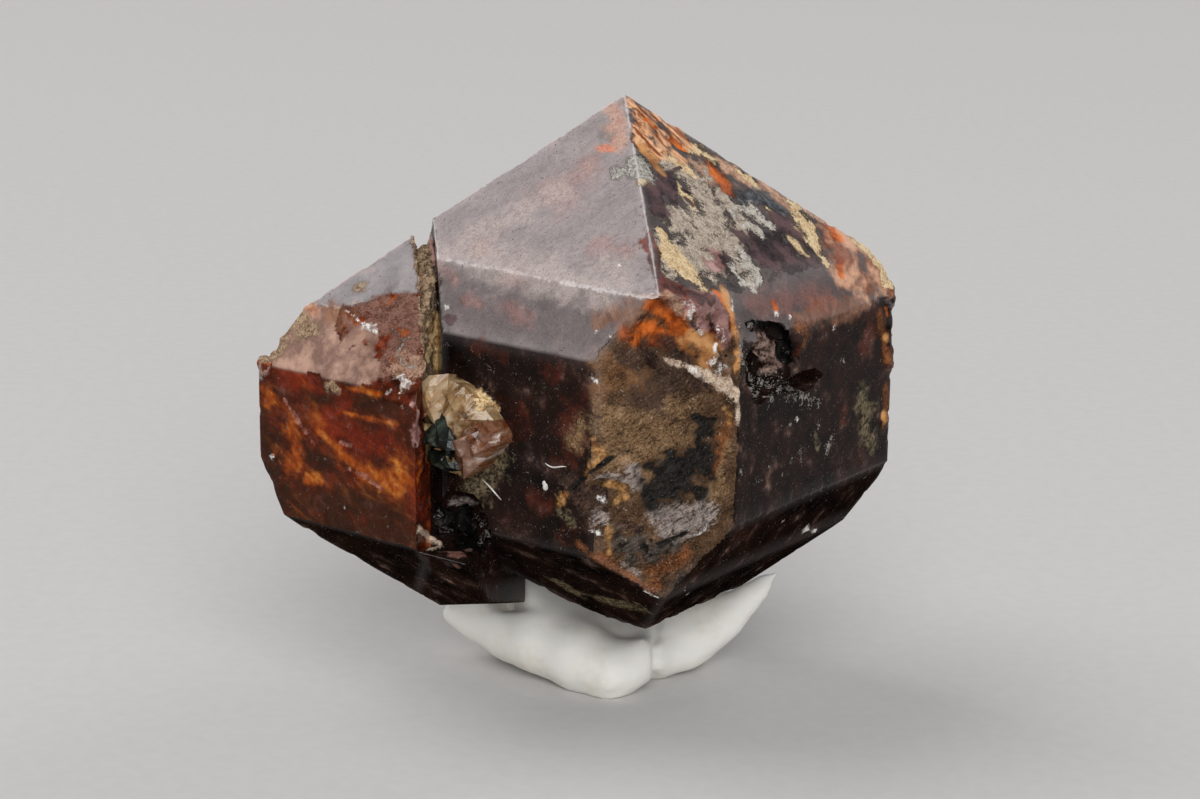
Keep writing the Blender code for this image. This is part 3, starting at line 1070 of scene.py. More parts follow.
@dataclass(frozen=True)
class ZirconFinish:
    """The main crystal: dark red-brown glass under a grey film and painted sheen, with crusts, fractures and
    sugary flats.
    """

    name: str = "zircon_luster"
    ior: float = 1.55
    specular: float = 0.05
    gloss: float = 0.14
    sheen_film_gloss: float = 0.38
    crust_gloss: float = 0.66
    speckling: float = 0.22
    black: Colour = tone(15, 10, 8)
    brown: Colour = tone(36, 21, 16)
    maroon: Colour = tone(68, 32, 25)
    # the grey film's tones, which carry the painted sheen
    sheen_film_dark: Colour = tone(138, 127, 127)
    sheen_film_pale: Colour = tone(170, 160, 159)
    # the colour of the painted edge highlight and of the pale specks
    edge: Colour = tone(222, 214, 212)

    def build(self) -> bpy.types.Material:
        """Make the material from the fields kept on the mesh.

        Returns:
            The material.
        """
        p = Painter(self.name, self.ior, self.specular)
        noises = p.brushes()
        broad, medium = noises[Brush.BROAD], noises[Brush.MEDIUM]
        fine, dust = noises[Brush.FINE], noises[Brush.DUST]
        colour = p.ramp(p.total((broad, 0.4), (medium, 0.6)),
                        (0.38, self.black), (0.55, self.brown), (0.74, self.maroon))
        # the grey film, which carries the painted sheen, over the base colour
        sheen_film_tone = p.ramp(p.total((medium, 0.25), (noises[Brush.WISP], 0.10), (fine, 0.30), (dust, 0.35)),
                           (0.40, self.sheen_film_dark), (0.60, self.sheen_film_pale))
        sheen_film = p.sheen_film(noises, 0.6, 0.42)
        colour, grit = p.lay_all(p.blend(sheen_film, colour, sheen_film_tone), noises)
        # a painted highlight with pale wear along the edges
        wear_and_highlight = p.step(p.shaken(p.field("wear_and_highlight"), fine, 0.5), 0.74, 0.98)
        line = p.total((wear_and_highlight, 0.50), (p.field("wear_and_highlight"), 0.14))
        colour = p.blend(line, colour, self.edge)
        colour = p.blend(p.times(p.step(dust, 0.68, 0.76), self.speckling), colour, self.edge)
        roughness = p.between(grit, p.between(sheen_film, self.gloss, self.sheen_film_gloss), self.crust_gloss)
        height = p.total((p.times(fine, grit), 0.10), (p.times(dust, grit), 0.05),
                         (p.times(noises[Brush.FIBRE], grit), 0.015), (dust, 0.0035), (fine, 0.004))
        return p.finish(colour, p.shaken(roughness, fine, 0.14), height)


@dataclass(frozen=True)
class AmberFinish:
    """The second crystal: clear red amber glass, clouded and cracked, with a pale film and painted sheen on
    its upper faces.
    """

    name: str = "zircon_amber"
    ior: float = 1.60
    specular: float = 0.06
    clear: float = 0.35
    sheen: Colour = (1.0, 0.42, 0.22)
    depth_colour: Colour = (0.90, 0.34, 0.08)
    depth_density: float = 420.0
    gloss: float = 0.12
    sheen_film_gloss: float = 0.36
    crust_gloss: float = 0.60
    # the pale film's tones, which carry the painted sheen
    sheen_film_dark: Colour = tone(126, 121, 123)
    sheen_film_pale: Colour = tone(168, 162, 163)
    crack_dark: Colour = tone(112, 64, 50)
    crack_pale: Colour = tone(180, 132, 118)
    # the colour of the painted edge highlight
    edge: Colour = tone(206, 180, 168)
    inner: tuple[tuple[float, Colour], ...] = (
        (0.36, tone(38, 16, 11)), (0.47, tone(74, 28, 15)), (0.58, tone(112, 42, 19)),
        (0.72, tone(150, 66, 26)),
    )

    def build(self) -> bpy.types.Material:
        """Make the material from the fields kept on the mesh.

        Returns:
            The material.
        """
        p = Painter(self.name, self.ior, self.specular)
        noises = p.brushes()
        flow, medium = noises[Brush.FLOW], noises[Brush.MEDIUM]
        fine, dust = noises[Brush.FINE], noises[Brush.DUST]
        colour = p.ramp(p.total((flow, 0.65), (fine, 0.35)), *self.inner)
        for wash in WASHES:
            brush, share = wash.mixture
            mask = p.times(p.edge(wash.name, noises[wash.outline], wash.fray, wash.soft), wash.share)
            mixture = p.total((noises[brush], share), (fine, 1 - share))
            colour = p.blend(mask, colour, p.ramp(mixture, *wash.stops))
        colour = p.blend(1.0, colour, (1 / SIDE_LIT,) * 3, "MULTIPLY")
        cracks = p.times(p.edge("crack", fine, 0.7, 0.16), 0.8)
        colour = p.blend(cracks, colour, p.ramp(fine, (0.38, self.crack_dark), (0.62, self.crack_pale)))
        # the pale film, which carries the painted sheen, over the inner colour
        sheen_film_tone = p.ramp(p.total((medium, 0.5), (fine, 0.2), (dust, 0.3)), (0.32, self.sheen_film_dark),
                           (0.66, self.sheen_film_pale))
        sheen_film = p.sheen_film(noises, 0.5, 0.38)
        colour, grit = p.lay_all(p.blend(sheen_film, colour, sheen_film_tone), noises)
        # a painted highlight with pale wear along the edges
        wear_and_highlight = p.step(p.shaken(p.field("wear_and_highlight"), fine, 0.7), 0.66, 0.90)
        colour = p.blend(p.times(wear_and_highlight, 0.6), colour, self.edge)
        cloud = p.maths("MAXIMUM", p.maths("MAXIMUM", sheen_film, p.field("cloud")), wear_and_highlight)
        p.plug(p.between(cloud, self.clear, 0.0), p.shader.inputs["Transmission Weight"])
        p.shader.inputs["Specular Tint"].default_value = (*self.sheen, 1)
        depth = p.node("ShaderNodeVolumeAbsorption")
        depth.inputs["Color"].default_value = (*self.depth_colour, 1)
        depth.inputs["Density"].default_value = self.depth_density
        p.plug(depth.outputs["Volume"], p.output.inputs["Volume"])
        roughness = p.between(grit, p.between(sheen_film, self.gloss, self.sheen_film_gloss), self.crust_gloss)
        height = p.total((p.times(fine, grit), 0.09), (p.times(dust, grit), 0.05),
                         (dust, 0.003), (fine, 0.004), (flow, 0.004))
        return p.finish(colour, roughness, height)


@dataclass(frozen=True)
class TackFinish:
    """Soft matte putty, a little dirty."""

    name: str = "white_tack"
    clean: Colour = (0.96, 0.94, 0.88)
    dirty: Colour = (0.84, 0.80, 0.70)
    crest: Colour = (0.95, 0.93, 0.87)
    ior: float = 1.45
    specular: float = 0.35
    glow: float = 0.12
    glow_reach: Colour = (0.9, 0.7, 0.5)

    def build(self) -> bpy.types.Material:
        """Make the material.

        Returns:
            The material.
        """
        p = Painter(self.name, self.ior, self.specular)
        broad = p.noise(2.6, 3)
        fine = p.noise(0.30, 4, 0.6)
        colour = p.ramp(p.total((broad, 0.8), (fine, 0.2)),
                        (0.32, self.dirty), (0.48, self.clean), (0.75, self.crest))
        p.shader.inputs["Subsurface Weight"].default_value = self.glow
        p.shader.inputs["Subsurface Radius"].default_value = self.glow_reach
        p.shader.inputs["Subsurface Scale"].default_value = MM
        return p.finish(colour, p.between(fine, 0.58, 0.80), p.total((fine, 0.012), (broad, 0.05)))


@dataclass(frozen=True)
class GlassFinish:
    """Broken glassy crystal, streaked and flecked from a dark tone to a pale one."""

    name: str
    dark: Colour
    middle: Colour
    pale: Colour
    gleam: Colour
    specular: float = 0.8
    clear: float = 0.50
    ior: float = 1.60

    def build(self) -> bpy.types.Material:
        """Make the material.

        Returns:
            The material.
        """
        p = Painter(self.name, self.ior, self.specular)
        medium = p.noise(0.55, 4, 0.6, p.stretched(heading(0.6, 1, -0.7), 2.6), warp=0.5)
        fine = p.noise(0.20, 4, 0.65, warp=0.4)
        cracks = p.cracks(0.45)
        colour = p.ramp(p.total((medium, 0.85), (fine, 0.15)),
                        (0.36, self.dark), (0.46, self.middle), (0.57, self.pale), (0.68, self.gleam))
        p.shader.inputs["Transmission Weight"].default_value = self.clear
        height = p.total((fine, 0.006), (medium, 0.03), (cracks, 0.05))
        return p.finish(colour, p.between(fine, 0.03, 0.18), height)


@dataclass(frozen=True)
class DustFinish:
    """White lint and specks."""

    name: str = "white_lint"
    dull: Colour = (0.50, 0.46, 0.42)
    bright: Colour = (0.82, 0.80, 0.77)
    ior: float = 1.45
    specular: float = 0.3

    def build(self) -> bpy.types.Material:
        """Make the material.

        Returns:
            The material.
        """
        p = Painter(self.name, self.ior, self.specular)
        fine = p.noise(0.2, 2)
        return p.finish(p.ramp(fine, (0.3, self.dull), (0.7, self.bright)), 0.8, p.total((fine, 0.01)))


@dataclass(frozen=True)
class StudioFinish:
    """The pale floor."""

    name: str = "studio_floor"
    tone: Colour = (0.62, 0.61, 0.60)
    lighter: float = 1.03
    ior: float = 1.45
    specular: float = 0.2

    def build(self) -> bpy.types.Material:
        """Make the material.

        Returns:
            The material.
        """
        p = Painter(self.name, self.ior, self.specular)
        grain = p.noise(0.6, 2)
        lighter = tuple(part * self.lighter for part in self.tone)
        return p.finish(p.ramp(grain, (0.35, self.tone), (0.65, lighter)), 0.85, p.total((grain, 0.01)))


# ---- the crystal ----

# how strong the film and its painted sheen are on each face, by side and kind on the main crystal and by kind
# on the second
MAIN_SHEEN_FILM: Mapping[tuple[Side, FaceKind], float] = {
    (Side.LEFT_FRONT, FaceKind.PYRAMID): 1.00,
    (Side.LEFT_FRONT, FaceKind.STEEP): 0.50,
    (Side.RIGHT_FRONT, FaceKind.PYRAMID): 0.14,
    (Side.RIGHT_FRONT, FaceKind.STEEP): 0.34,
    (Side.RIGHT_BACK, FaceKind.PYRAMID): 0.70,
    (Side.RIGHT_BACK, FaceKind.STEEP): 0.50,
    (Side.RIGHT_BACK, FaceKind.PRISM): 0.12,
    (Side.RIGHT_BACK, FaceKind.LOWER): 0.06,
    (Side.LEFT_BACK, FaceKind.PYRAMID): 0.80,
    (Side.LEFT_BACK, FaceKind.STEEP): 0.50,
    (Side.LEFT_BACK, FaceKind.PRISM): 0.15,
    (Side.LEFT_BACK, FaceKind.LOWER): 0.06,
}
SIDE_SHEEN_FILM: Mapping[FaceKind, float] = {FaceKind.PYRAMID: 1.0, FaceKind.STEEP: 0.6}
# the faces whose edges carry the strongest painted highlight
BRIGHT_EDGED: Mapping[tuple[Side, FaceKind], float] = {
    (Side.LEFT_FRONT, FaceKind.PYRAMID): 1.0,
    (Side.LEFT_FRONT, FaceKind.STEEP): 0.75,
}

PATCHES: Mapping[str, Patch] = {
    "peach": Patch(1.6, (
        ((612, 106, 5), (617, 120, 7), (622, 134, 6), (618, 147, 5)),
    )),
    "haze": Patch(1.6, (
        ((604, 134, 4), (612, 140, 4), (617, 132, 3)), ((388, 291, 3), (396, 284, 2.5)),
    )),
    "ember": Patch(1.6, (
        ((605, 146, 4), (611, 150, 3)), ((539, 214, 2.5),),
    )),
    "blush": Patch(1.5, (
        ((598, 246, 6), (612, 247, 7), (626, 252, 6)), ((437, 263, 4), (446, 270, 5), (455, 279, 4)),
        ((560, 190, 16), (585, 170, 10)), ((505, 276, 5), (521, 281, 5)), ((508, 308, 6), (520, 318, 6)),
        ((530, 316, 3),), ((466, 300, 4), (480, 305, 3)), ((480, 250, 7),), ((690, 190, 4),), ((750, 300, 8),
        (790, 300, 9), (830, 298, 9)),
    )),
    # a painted sheen that lightens the lower part of the left front pyramid
    "painted_sheen": Patch(2, (
        ((440, 252, 7), (490, 262, 9), (540, 275, 9), (600, 290, 8)), ((612, 262, 7), (622, 280, 6)),
        ((470, 240, 8), (520, 215, 8), (560, 190, 7)),
    )),
    "copper": Patch(1.6, (
        ((600, 320, 6), (620, 317, 8), (640, 311, 9), (655, 307, 5)), ((628, 325, 6),), ((350, 318, 8),
        (330, 312, 6)), ((800, 318, 6), (830, 312, 7), (858, 304, 6)),
    )),
    "beige": Patch(1.65, (
        ((672, 166, 9), (700, 186, 14), (716, 214, 18), (702, 240, 18), (682, 224, 12)), ((668, 250, 10),
        (690, 262, 12), (716, 256, 12), (736, 240, 10), (742, 224, 8), (726, 200, 10)), ((660, 236, 6),
        (668, 266, 9)), ((735, 262, 8), (748, 280, 8)),
    )),
    "cream": Patch(1.4, (
        ((690, 148, 6), (703, 153, 6), (711, 158, 5)), ((677, 182, 3), (682, 192, 4), (690, 200, 4),
        (694, 207, 3)), ((671, 160, 5), (690, 172, 5)), ((792, 204, 5), (801, 215, 8), (806, 226, 8),
        (813, 240, 6), (818, 254, 5), (825, 262, 4)), ((790, 239, 4), (798, 246, 5), (807, 252, 4)),
        ((738, 171, 3), (748, 178, 4), (757, 187, 3)), ((661, 232, 4), (666, 246, 7), (672, 260, 9),
        (684, 270, 9), (696, 280, 7), (704, 290, 4)), ((766, 208, 3), (773, 213, 3)), ((854, 240, 4),
        (869, 251, 5), (882, 269, 5), (888, 284, 4)), ((642, 182, 4), (649, 184, 4)), ((795, 228, 4),
        (806, 240, 4), (815, 250, 3)),
    )),
    "shadow": Patch(1.7, (
        ((658, 182, 5), (652, 193, 6), (654, 204, 7), (661, 212, 5)), ((665, 178, 5), (674, 181, 4),
        (669, 190, 5), (672, 199, 4)), ((668, 174, 3), (680, 168, 2)), ((683, 190, 3), (690, 193, 2)),
        ((685, 198, 2), (693, 205, 2.5)), ((733, 231, 4), (744, 238, 6), (753, 248, 8), (762, 257, 8),
        (774, 262, 7), (790, 264, 6), (806, 265, 5), (819, 264, 3)), ((753, 236, 5), (768, 240, 8),
        (783, 246, 8), (777, 232, 6)), ((772, 214, 5), (781, 222, 7), (790, 229, 7), (799, 234, 5),
        (803, 244, 3)), ((811, 251, 4), (819, 259, 3)), ((732, 286, 4), (741, 290, 3)), ((728, 262, 5),
        (730, 272, 4)), ((878, 301, 2.5), (888, 302, 2)), ((688, 315, 1.5), (694, 325, 2), (698, 333, 1.5)),
        ((645, 341, 1.5), (652, 344, 2), (658, 343, 1.2)), ((352, 306, 1.5), (365, 304, 1.5),
        (380, 301, 1.5)), ((445, 318, 3), (452, 321, 3)),
    )),
    "slate": Patch(1.6, (
        ((738, 192, 3), (748, 195, 6), (762, 198, 7), (773, 203, 6), (782, 210, 5)), ((740, 200, 4),
        (750, 203, 3)),
    )),
    "mauve": Patch(1.3, (
        ((708, 250, 4), (716, 256, 6), (723, 263, 5), (713, 268, 5), (705, 262, 4)), ((692, 298, 9),
        (708, 308, 12), (720, 322, 9), (726, 342, 6)), ((704, 324, 9), (711, 337, 5)), ((412, 404, 3),
        (418, 418, 4), (416, 432, 4), (417, 443, 3)), ((432, 232, 3), (434, 250, 3), (434, 266, 2.5)),
    )),
    "maroon": Patch(1.6, (
        ((646, 213, 2), (649, 230, 3), (653, 250, 3.5), (657, 270, 4), (662, 286, 4)), ((664, 281, 3),
        (673, 288, 5), (686, 294, 6), (698, 300, 5)), ((650, 240, 4), (656, 262, 4)), ((712, 330, 3),
        (713, 345, 2), (710, 368, 2)), ((708, 300, 4),),
    )),
    "isle": Patch(1.45, (
        ((740, 207, 5), (750, 212, 8), (761, 218, 8), (768, 226, 5)), ((748, 226, 5), (759, 232, 5)),
        ((733, 214, 4),), ((738, 249, 3), (744, 256, 5), (751, 267, 7), (757, 280, 5)), ((746, 284, 6),
        (738, 277, 6), (733, 268, 4)), ((742, 262, 5),),
    )),
    "lamella": Patch(1.6, (
        ((629, 102, 4), (640, 112, 6), (654, 128, 8), (668, 143, 7)), ((640, 130, 5), (645, 145, 5),
        (654, 154, 5)), ((655, 113, 4), (668, 124, 5), (682, 139, 5), (690, 147, 3)), ((668, 150, 6),
        (678, 156, 5)),
    )),
    "rose": Patch(1.6, (
        ((700, 168, 7), (710, 183, 7)), ((690, 160, 5),), ((725, 167, 4), (738, 176, 4)), ((762, 181, 3),
        (776, 193, 3), (790, 205, 3)), ((812, 215, 4), (830, 223, 4), (850, 234, 4)), ((745, 180, 4),
        (770, 196, 5), (792, 208, 4)), ((800, 205, 4), (820, 216, 5), (842, 232, 5)), ((715, 158, 4),
        (735, 170, 5)),
    )),
    "bloom": Patch(1.5, (
        ((832, 246, 12), (848, 264, 13), (862, 284, 12)), ((872, 264, 9), (882, 284, 8)), ((826, 232, 7),
        (842, 242, 9)), ((665, 297, 5), (672, 303, 7), (680, 311, 5)), ((305, 305, 4), (315, 312, 4)),
        ((858, 245, 8), (878, 262, 8), (889, 285, 7)), ((840, 270, 9), (860, 290, 8)),
    )),
    "granite": Patch(1.6, (
        ((641, 158, 3), (632, 163, 6), (622, 170, 5), (616, 178, 3)), ((640, 165, 6), (645, 172, 6),
        (650, 178, 4)), ((632, 172, 6), (641, 174, 5)),
    )),
    "fire": Patch(1.6, (
        ((655, 304, 5), (665, 315, 6), (672, 328, 7), (680, 335, 6)), ((625, 331, 4), (635, 337, 6),
        (650, 333, 8), (660, 335, 8), (668, 345, 4)), ((647, 122, 3), (653, 128, 3), (657, 133, 2)),
        ((671, 140, 3), (680, 147, 3), (687, 151, 2)), ((704, 158, 2), (712, 166, 3), (720, 178, 4),
        (727, 190, 4), (733, 196, 3)), ((828, 225, 3), (836, 236, 4)), ((840, 262, 4), (841, 273, 3)),
        ((714, 290, 2), (723, 299, 3), (730, 312, 3), (734, 328, 3)), ((776, 308, 3), (772, 300, 2)),
        ((886, 308, 2), (888, 315, 2)), ((383, 303, 3), (392, 302, 3.5), (396, 307, 2)),
    )),
    "honey": Patch(1.5, (
        ((643, 147, 3), (650, 157, 3.5), (658, 168, 3.5), (664, 175, 2.5)), ((695, 338, 5), (704, 345, 8),
        (710, 352, 6), (705, 360, 6)), ((683, 345, 4), (692, 352, 5)), ((722, 286, 2.5), (727, 296, 3),
        (731, 311, 3), (734, 326, 2.5), (737, 340, 3), (738, 355, 3), (736, 370, 2)), ((717, 335, 1.5),
        (719, 343, 2), (720, 348, 1.5)), ((886, 336, 3), (888, 342, 2)), ((885, 415, 3), (887, 420, 2.5),
        (884, 430, 3)),
    )),
    "wedge": Patch(1.5, (
        ((432, 314, 4), (436, 328, 6), (438, 345, 6), (438, 360, 5), (434, 372, 4)), ((428, 322, 4),
        (430, 345, 5), (428, 362, 4)),
    )),
    "flame": Patch(1.25, (
        ((662, 152, 1.5), (664, 158, 2), (667, 163, 1.5)), ((728, 180, 1.5), (732, 187, 2.5), (737, 194, 2),
        (743, 194, 1.5)), ((796, 269, 2), (801, 270, 1.5)), ((711, 273, 1.5), (715, 280, 2)),
        ((836, 240, 2),), ((681, 314, 2.5), (684, 324, 3), (688, 334, 2)), ((640, 335, 3), (655, 337, 3)),
        ((581, 547, 1.5),), ((387, 304, 2), (394, 304, 2)),
    )),
    "umber": Patch(1.6, (
        ((615, 372, 9), (632, 368, 11), (640, 378, 9)), ((597, 395, 5), (598, 408, 5)), ((600, 368, 4),
        (607, 355, 4)),
    )),
    "plum": Patch(1.8, (
        ((645, 350, 5), (660, 362, 9), (672, 375, 10), (662, 392, 10), (655, 402, 7)), ((685, 368, 7),
        (695, 382, 6)), ((640, 400, 7), (650, 412, 6)), ((625, 355, 5), (640, 362, 6)), ((665, 345, 6),
        (680, 358, 7)), ((600, 505, 6), (590, 520, 6)), ((560, 470, 5), (570, 485, 5)),
    )),
    "tan": Patch(1.45, (
        ((600, 425, 8), (620, 435, 11), (645, 440, 12), (665, 442, 11), (685, 435, 8)), ((610, 455, 9),
        (630, 460, 8)), ((655, 470, 8), (645, 490, 7)), ((725, 445, 4), (720, 460, 4), (718, 478, 4),
        (722, 490, 4)), ((712, 488, 5), (715, 500, 5)), ((580, 425, 5), (575, 440, 6)), ((672, 405, 6),
        (690, 410, 6)), ((600, 410, 6), (625, 418, 8), (650, 425, 8)), ((640, 450, 8), (665, 452, 7)),
        ((650, 430, 10), (672, 440, 9)),
    )),
    "ash": Patch(1.35, (
        ((660, 515, 7), (675, 515, 9), (690, 512, 9), (705, 512, 8), (714, 510, 5)), ((665, 530, 6),
        (680, 527, 7), (695, 524, 7), (708, 519, 4)), ((600, 517, 4), (592, 522, 3)), ((597, 478, 2),
        (608, 474, 2.5), (622, 478, 3), (630, 484, 2)), ((622, 563, 2), (632, 569, 2.5), (640, 575, 2)),
        ((630, 470, 5), (638, 485, 5)), ((452, 503, 3), (462, 499, 4), (474, 503, 3)),
    )),
    "speck": Patch(1.4, (
        ((625, 545, 6), (640, 545, 8), (650, 555, 7), (635, 560, 6)), ((618, 535, 5),), ((655, 548, 6),
        (675, 545, 5)),
    )),
    # painted shade in small hollows of the sugary flat
    "hollow_shade": Patch(1.6, (
        ((583, 490, 6), (592, 498, 7), (580, 502, 5)), ((620, 525, 3), (640, 530, 3)), ((600, 500, 4),),
    )),
    "soot": Patch(1.9, (
        ((697, 418, 3), (706, 421, 3), (716, 419, 2)), ((708, 428, 4), (712, 436, 3)), ((704, 433, 3),
        (697, 441, 3)), ((704, 456, 7), (690, 466, 12), (676, 475, 13), (664, 486, 10), (650, 496, 6)),
        ((705, 455, 5), (703, 470, 5)), ((690, 487, 5), (700, 492, 4)), ((705, 385, 2), (710, 392, 2)),
        ((707, 315, 2),), ((650, 540, 2), (662, 544, 2.5), (672, 539, 1.5), (685, 533, 1.5)), ((645, 548, 3),
        (650, 555, 2)), ((668, 552, 3),), ((674, 598, 4), (682, 594, 5), (689, 588, 3)), ((569, 490, 1),
        (578, 483, 1), (590, 473, 1.2), (600, 466, 1), (612, 458, 1), (622, 453, 1), (629, 451, 2)),
        ((430, 440, 3), (440, 450, 4), (448, 460, 4)),
    )),
    "moss": Patch(1.6, (
        ((600, 600, 5), (625, 605, 6), (645, 610, 5)), ((470, 485, 9), (490, 480, 8)), ((505, 448, 6),
        (500, 468, 6)), ((860, 400, 7), (870, 410, 7), (865, 430, 7), (873, 440, 5)), ((815, 435, 3),
        (818, 447, 3)), ((560, 513, 3), (570, 520, 4)), ((555, 580, 5), (580, 595, 5)),
    )),
    "druse": Patch(1.2, (
        ((753, 348, 5), (757, 337, 5), (766, 342, 6), (772, 352, 6), (774, 363, 5), (766, 371, 5),
        (758, 374, 4)), ((762, 357, 6),),
    )),
    "frost": Patch(1.6, (
        ((740, 327, 3), (747, 332, 3), (756, 323, 3)), ((741, 345, 3), (743, 362, 4)), ((748, 374, 5),
        (760, 384, 6), (775, 384, 6), (790, 389, 6), (804, 396, 5), (818, 402, 4)), ((752, 392, 4),
        (770, 398, 4)), ((440, 520, 4), (447, 532, 4)), ((480, 520, 4), (485, 535, 4)), ((818, 428, 4),
        (814, 436, 4)), ((800, 455, 4), (792, 462, 3)), ((776, 462, 3), (768, 468, 3)), ((738, 475, 3),
        (742, 470, 3)), ((757, 480, 3), (762, 477, 3)), ((396, 330, 4), (404, 336, 4), (401, 346, 3)),
        ((399, 362, 3), (410, 366, 3)), ((830, 440, 4), (826, 450, 4)),
    )),
    "rust": Patch(1.8, (
        ((788, 333, 3), (800, 335, 4), (808, 330, 4), (815, 325, 3)), ((795, 345, 3), (797, 352, 3)),
        ((820, 320, 3), (830, 315, 3)), ((862, 314, 6), (875, 314, 6), (882, 320, 4), (870, 330, 8),
        (865, 345, 6)), ((845, 418, 5),), ((550, 360, 6), (556, 375, 5), (545, 370, 4)), ((505, 405, 5),
        (520, 420, 10), (510, 430, 8)), ((570, 420, 8), (575, 440, 8), (570, 455, 6)), ((480, 350, 6),
        (500, 355, 5)), ((888, 350, 2.5),), ((585, 400, 5),), ((560, 465, 6),), ((540, 500, 8),),
        ((590, 525, 6),), ((565, 530, 6),),
    )),
    # near-black painted shade in the hollows of the notch and the vug
    "void_shade": Patch(1.3, (
        ((750, 326, 4), (765, 325, 4), (778, 328, 5), (787, 341, 6), (788, 356, 6), (781, 346, 4)),
        ((748, 342, 3), (747, 356, 3)), ((450, 520, 9), (465, 530, 13), (475, 545, 11)), ((460, 545, 9),),
        ((440, 505, 4),),
    )),
    "glint": Patch(1.3, (
        ((684, 301, 1.5), (691, 304, 1.5), (692, 312, 1)), ((688, 312, 1), (694, 322, 1), (701, 333, 1.2)),
        ((716, 325, 1.5), (714, 333, 1.5)), ((719, 330, 1), (723, 341, 1)), ((714, 345, 1.5), (715, 355, 1)),
        ((710, 360, 3), (718, 363, 4.5), (724, 366, 3), (715, 371, 3)), ((684, 364, 1.5), (692, 369, 1.5),
        (702, 377, 1.5)), ((732, 298, 1), (733, 310, 1)), ((592, 376, 2), (597, 383, 1.5)), ((597, 332, 1.5),
        (604, 336, 1.5), (611, 338, 1)), ((690, 536, 1.5), (698, 534, 1.5), (704, 530, 1.5),
        (708, 524, 1.2)), ((588, 528, 1.5), (594, 532, 2), (599, 532, 1.5)), ((600, 497, 1.5),
        (607, 502, 2)), ((662, 537, 2),), ((346, 310, 1.5), (352, 315, 2), (358, 321, 2), (367, 327, 2.5),
        (374, 329, 3), (378, 333, 2)), ((393, 380, 3), (402, 378, 4), (408, 385, 4), (400, 392, 3)),
        ((390, 391, 1.5), (386, 394, 1.5)), ((400, 398, 1), (403, 408, 1)), ((778, 310, 3), (776, 316, 2)),
        ((790, 318, 2),), ((843, 357, 1.5), (844, 361, 1)), ((834, 328, 1),), ((818, 355, 1.5),),
        ((816, 378, 2),), ((790, 425, 1),), ((797, 419, 1),), ((782, 475, 1),), ((783, 520, 1.2),),
        ((645, 591, 1.5), (657, 597, 1.5)), ((436, 303, 2), (447, 307, 2)), ((684, 589, 1),),
        ((687, 594, 1),), ((620, 265, 1),), ((273, 457, 1.5),), ((345, 508, 1.2),), ((805, 528, 3),
        (815, 531, 2)),
    )),
    "rim": Patch(1.2, (
        ((664, 358, 2), (674, 362, 2.5), (684, 366, 3), (695, 370, 3), (705, 374, 4)), ((706, 376, 4),
        (718, 381, 5), (728, 387, 5), (736, 396, 4), (738, 410, 2), (738, 425, 1.5)), ((418, 530, 3),
        (428, 537, 3), (436, 543, 3), (442, 547, 2.5), (432, 550, 3)),
    )),
    "straw": Patch(1.6, (
        ((288, 322, 4), (292, 330, 5), (278, 345, 6), (267, 355, 4)), ((300, 320, 5), (310, 330, 6),
        (295, 335, 6)), ((262, 352, 3), (264, 360, 3)), ((288, 325, 4), (286, 335, 3)), ((362, 288, 5),),
        ((330, 385, 5), (338, 389, 3)), ((416, 240, 3), (420, 260, 4), (424, 280, 4), (425, 292, 3)),
    )),
    "brick": Patch(1.9, (
        ((365, 310, 5), (378, 315, 7), (390, 325, 8), (398, 312, 7), (412, 306, 6), (420, 318, 6),
        (425, 335, 5), (424, 350, 4), (415, 352, 5)), ((388, 352, 4), (385, 362, 4), (388, 375, 4)),
        ((400, 303, 4), (412, 300, 4)), ((450, 552, 4), (458, 556, 4)), ((372, 312, 7), (395, 318, 9),
        (415, 322, 8)), ((395, 345, 9), (415, 345, 7)),
    )),
    "fawn": Patch(1.5, (
        ((347, 318, 4), (352, 332, 6), (360, 346, 7), (370, 362, 6), (374, 374, 4)), ((360, 326, 4),
        (368, 338, 6), (374, 352, 5)),
    )),
    "salmon": Patch(1.5, (
        ((400, 365, 6), (412, 368, 7), (424, 370, 5), (395, 375, 4)), ((403, 388, 4),), ((398, 368, 7),
        (422, 366, 7)), ((667, 297, 2.5), (674, 303, 3.5), (681, 311, 2.5)),
    )),
    "glow": Patch(1.95, (
        ((290, 432, 4), (296, 445, 5), (292, 458, 6), (290, 468, 4)), ((308, 480, 3), (320, 481, 3)),
        ((318, 432, 2), (330, 442, 2.5), (345, 455, 3), (360, 467, 3.5), (375, 478, 3)), ((372, 470, 4),
        (388, 480, 5), (398, 492, 4), (403, 480, 4), (397, 462, 3)), ((345, 388, 2), (360, 391, 2),
        (380, 395, 2)), ((262, 388, 3), (270, 394, 4), (268, 402, 3)), ((345, 412, 2), (365, 418, 2),
        (385, 422, 2), (398, 424, 1.5)), ((430, 460, 2), (432, 475, 3), (432, 490, 3), (431, 500, 2.5)),
    )),
    "blood": Patch(2, (
        ((285, 375, 5), (300, 380, 7), (315, 390, 7)), ((325, 425, 6), (345, 435, 8), (365, 445, 8),
        (383, 441, 6)), ((414, 480, 4), (416, 500, 4), (424, 512, 4)), ((330, 410, 6), (350, 402, 5)),
    )),
    "dusk": Patch(2, (
        ((262, 420, 6), (268, 440, 8), (278, 450, 7)), ((360, 400, 4), (380, 402, 5), (396, 405, 4)),
        ((300, 500, 9), (320, 510, 9), (345, 508, 9), (375, 508, 9), (398, 511, 6)), ((285, 490, 6),),
        ((310, 455, 5), (325, 462, 5)), ((275, 470, 5),), ((290, 515, 9), (330, 527, 10), (370, 535, 10),
        (405, 540, 8)), ((262, 460, 7), (268, 480, 7), (285, 505, 6)), ((310, 398, 4), (330, 400, 4)),
    )),
    "crack": Patch(1, (
